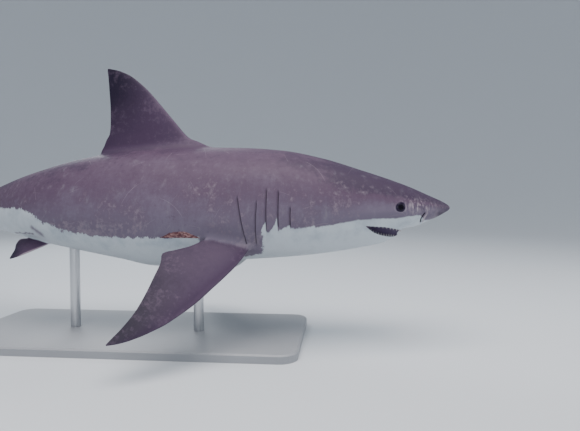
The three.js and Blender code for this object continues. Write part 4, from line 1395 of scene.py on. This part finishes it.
def toothMesh(row):
    # one blade, unit wide and unit high, with notched edges: flat outside, rounded inside
    notches, ring = teeth["serrations"], teeth["around"]
    rows = 4 * notches
    bury = teeth["bury"] / row["height"]
    turn = 2 * math.pi * np.arange(ring) / ring
    x, y = np.cos(turn), np.sin(turn)
    y = y * np.where(y > 0, 1, teeth["innerBulge"]) * 0.5 * (1 - np.abs(x) ** 3 * 0.5)
    stack = []
    for t in np.linspace(0, 1, rows + 1):
        high = -bury + (1 + bury) * t
        rise = max(high, 0)
        wide = 0.5 * (1 - rise) ** 0.85 * (1 + 0.16 * math.exp(-((rise - 0.02) / 0.12) ** 2))
        notch = teeth["serrationDepth"] * (0.5 - 0.5 * math.cos(2 * math.pi * notches * t)) * (1 - rise)
        thick = teeth["thickness"] / row["width"] * (1 - 0.75 * rise)
        stack.append(np.stack([x * max(wide - 0.5 * notch, 0.004), y * thick, np.full(ring, high)], axis=-1))
    ends = [tuple(range(first, first + ring)) for first in (0, rows * ring)]
    return np.concatenate(stack) * [1, 1, row["turn"]], ringQuads(rows + 1, ring) + ends


def toothTree():
    # a row of teeth along a gum line, biggest in the middle
    tree = bpy.data.node_groups.new("toothRow", "GeometryNodeTree")
    for name, kind in (
        ("Gum Line", "Geometry"), ("Tooth", "Object"), ("Count", "Int"), ("Tooth Size", "Vector"),
        ("End Size", "Float"), ("Lean", "Float"), ("Size Scatter", "Float"), ("Turn Scatter", "Float"),
        ("Seed", "Int"), ("Finish", "Material"),
    ):
        tree.interface.new_socket(name, in_out="INPUT", socket_type="NodeSocket" + kind)
    tree.interface.new_socket("Teeth", in_out="OUTPUT", socket_type="NodeSocketGeometry")
    make = nodeMaker(tree)
    given = make("NodeGroupInput").part
    half = given("Count") ** -1.0 * 0.5
    line = make("GeometryNodeMeshToCurve", {"Mesh": given("Gum Line")})
    cut = make("GeometryNodeTrimCurve", {"Curve": line, "Start": half, "End": 1.0 - half})
    stops = make("GeometryNodeResampleCurve", {"Curve": cut, "Count": given("Count")})
    chance, swing = (make("FunctionNodeRandomValue", {"Seed": seed}, 1, data_type="FLOAT") - 0.5
                     for seed in (given("Seed"), given("Seed") + 1.0))
    middle = abs(make("GeometryNodeSplineParameter", None, "Factor") * 2.0 - 1.0)
    size = (1.0 - middle ** 2.2 * (1.0 - given("End Size"))) * (chance * given("Size Scatter") + 1.0)
    scale = make("ShaderNodeVectorMath", {0: given("Tooth Size"), "Scale": size}, operation="SCALE")
    heading = make("FunctionNodeAlignRotationToVector", {"Vector": make("GeometryNodeInputTangent")},
                   axis="X", pivot_axis="Z")
    tooth = make("GeometryNodeObjectInfo", {"Object": given("Tooth")}, "Geometry")
    row = make("GeometryNodeInstanceOnPoints", {"Points": stops, "Instance": tooth,
                                                "Rotation": heading, "Scale": scale})
    turn = make("ShaderNodeCombineXYZ", {"X": given("Lean"), "Y": swing * given("Turn Scatter")})
    row = make("GeometryNodeRotateInstances", {"Instances": row, "Rotation": turn})
    solid = make("GeometryNodeRealizeInstances", {"Geometry": row})
    done = make("GeometryNodeSetMaterial", {"Geometry": solid, "Material": given("Finish")})
    tree.links.new(done.socket, tree.nodes.new("NodeGroupOutput").inputs["Teeth"])
    return tree


def makeToothRow(name, row, tree, finish):
    blade = placed(name + "Blade", meshOf(name + "Blade", *toothMesh(row), {}), finish)
    arch = toothArch(row)
    line = bpy.data.meshes.new(name)
    line.from_pydata(arch.tolist(), [(i, i + 1) for i in range(len(arch) - 1)], [])
    carrier = linked(name, line)
    grow = carrier.modifiers.new("teeth", "NODES")
    grow.node_group = tree
    values = {
        "Tooth": blade, "Count": row["count"], "Tooth Size": (row["width"], row["width"], row["height"]),
        "End Size": teeth["endSize"], "Lean": rad(teeth["lean"]) * row["turn"],
        "Size Scatter": teeth["scatterSize"], "Turn Scatter": rad(teeth["scatterTurn"]),
        "Seed": row["seed"], "Finish": finish,
    }
    for socket in tree.interface.items_tree:
        if socket.in_out == "INPUT" and socket.name in values:
            grow[socket.identifier] = values[socket.name]
    bpy.context.view_layer.update()
    mesh = bpy.data.meshes.new_from_object(carrier.evaluated_get(bpy.context.evaluated_depsgraph_get()))
    bpy.data.objects.remove(carrier)
    bpy.data.objects.remove(blade)
    return placed(name, mesh, finish)


def makeToothFinish():
    material, make = newMaterial(
        "toothEnamel", Roughness=0.22, IOR=1.6, Coat_Weight=0.35, Coat_Roughness=0.1, Subsurface_Weight=0.08)
    stain = make("ShaderNodeTexCoord", None, "Object").noise(140.0).step(-0.1, 0.2)
    return finished(material, stain.over(teeth["enamel"], teeth["enamelShade"]))


stand = {
    "board": (0.26, 0.27, 0.29, 1), "boardPale": (0.32, 0.33, 0.35, 1),
    "rod": (0.5, 0.51, 0.53, 1), "rodPale": (0.66, 0.67, 0.69, 1),
}


def makeBoardFinish():
    material, make = newMaterial("standBoard", IOR=1.48)
    place = make("ShaderNodeTexCoord", None, "Object")
    roller = place.noise(190.0, 4.0, 0.6)
    colour = (place.noise(3.0) + 0.5).over(stand["board"], stand["boardPale"])
    return finished(material, colour, roller * 0.2 + 0.45, roller, 0.15, 0.0006)


def makeRodFinish():
    material, make = newMaterial("standRod", Metallic=1.0, Anisotropic=0.5)
    place = make("ShaderNodeTexCoord", None, "Object")
    lines = place.noise(900.0, 3.0, 0.7, 0.0, (1, 1, 0.02))
    rings = place.noise(420.0, 2.0, 0.6, 0.0, (0.05, 0.05, 1))
    colour = (lines + 0.5).over(stand["rod"], stand["rodPale"])
    return finished(material, colour, rings * 0.2 + 0.32, rings, 0.12, 0.0004)


def refinish(node, finish):
    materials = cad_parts[node].data.materials
    materials.clear()
    materials.append(finish)


room = {
    "flat": 9.0, "rim": 22.0, "rimHeight": 17.0, "around": 96, "steps": 32,
    "paper": (0.6, 0.63, 0.66, 1), "skyStrength": 0.75, "sky": (0.8, 0.86, 0.94, 1),
}


def makeRoom():
    # a round floor that curves up all round into a backdrop
    flat, around = room["flat"], room["around"]
    curve = np.linspace(0, math.pi / 2, room["steps"])
    away = np.append(0.4 * flat, flat + (room["rim"] - flat) * np.sin(curve))
    high = np.append(0.0, room["rimHeight"] * (1 - np.cos(curve)))
    points = [(0.0, 0.0, 0.0)]
    for r, z in zip(away.tolist(), high.tolist()):
        turns = [2 * math.pi * j / around for j in range(around)]
        points += [(r * math.cos(turn), r * math.sin(turn), z) for turn in turns]
    mesh = bpy.data.meshes.new("studioFloor")
    quads = ringQuads(len(away), around, 1)
    mesh.from_pydata(points, [], ringFan(1, around, 0) + [face[::-1] for face in quads])
    mesh.polygons.foreach_set("use_smooth", np.ones(len(mesh.polygons), bool))
    mesh.materials.append(newMaterial("studioPaper", Roughness=0.9, Base_Color=room["paper"])[0])
    linked("studioFloor", mesh)
    world = bpy.data.worlds.new("studioSky")
    bpy.context.scene.world = world
    world.use_nodes = True
    sky = world.node_tree.nodes["Background"].inputs
    sky["Color"].default_value, sky["Strength"].default_value = room["sky"], room["skyStrength"]


lights = [  # name, place, target, size, power, colour
    ("keyLight", (0.9, -1.6, 5.6), (0.3, 0, 0.7), (5.5, 4.0), 420, (1.0, 0.94, 0.92)),
    ("fillLight", (1.5, -6.5, 2.2), (0.2, 0, 0.7), (4.0, 2.5), 90, (0.9, 0.95, 1.0)),
    ("faceLight", (6.0, 0.5, 2.6), (1.2, 0, 0.7), (3.0, 2.5), 60, (0.94, 0.97, 1.0)),
    ("backLight", (-2.5, 5.0, 4.4), (0.0, 0, 0.8), (3.5, 2.5), 160, (0.88, 0.94, 1.0)),
]


def makeLights():
    for name, at, to, size, power, colour in lights:
        data = bpy.data.lights.new(name, "AREA")
        data.shape, data.size, data.size_y = "RECTANGLE", *size
        data.energy, data.color = power, colour
        lamp = linked(name, data)
        lamp.location = at
        lamp.rotation_euler = (Vector(to) - Vector(at)).to_track_quat("-Z", "Y").to_euler()


view = {
    "frameWidth": 580, "focalPixels": 520, "sensor": 36,
    "yaw": 5.5, "pitch": -2.5, "fromSnout": (-0.5857, -2.8564, 0.0814),
}


def makeCamera():
    data = bpy.data.cameras.new("camera")
    data.lens, data.sensor_width = view["focalPixels"] / view["frameWidth"] * view["sensor"], view["sensor"]
    camera = linked("camera", data)
    camera.location = Vector(toWorld(np.zeros((1, 3)))[0].tolist()) + Vector(view["fromSnout"])
    camera.rotation_euler = (rad(90 + view["pitch"]), 0, rad(view["yaw"]))
    bpy.context.scene.camera = camera


fleshNodes = [
    "head", "lower_jaw", "trunk_front", "trunk_middle", "trunk_rear", "tail_stock",
    "caudal_upper_lobe", "caudal_lower_lobe", "first_dorsal_fin", "second_dorsal_fin", "anal_fin",
    "pectoral_fin_right", "pectoral_fin_left", "pelvic_fin_right", "pelvic_fin_left",
]
skin = makeSkin(makeHide())
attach(skin, "root")
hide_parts(*fleshNodes)
print("skin made")

eyeFinish = makeEyeFinish()
for name, side in (("eyeRight", -1), ("eyeLeft", 1)):
    ball = makeEye(name, side, eyeFinish)
    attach(ball, "root")
    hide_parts("eye_right" if side < 0 else "eye_left")
print("eyes made")

toothFinish = makeToothFinish()
rowTree = toothTree()
for name, row in (("teethUpper", teeth["upper"]), ("teethLower", teeth["lower"])):
    made = makeToothRow(name, row, rowTree, toothFinish)
    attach(made, "root")
print("teeth made")

refinish("stand_base", makeBoardFinish())
rodFinish = makeRodFinish()
for rod in ("stand_rod_front", "stand_rod_rear"):
    refinish(rod, rodFinish)
print("stand finished")

makeRoom()
makeLights()
makeCamera()
print("room, lights and camera set")
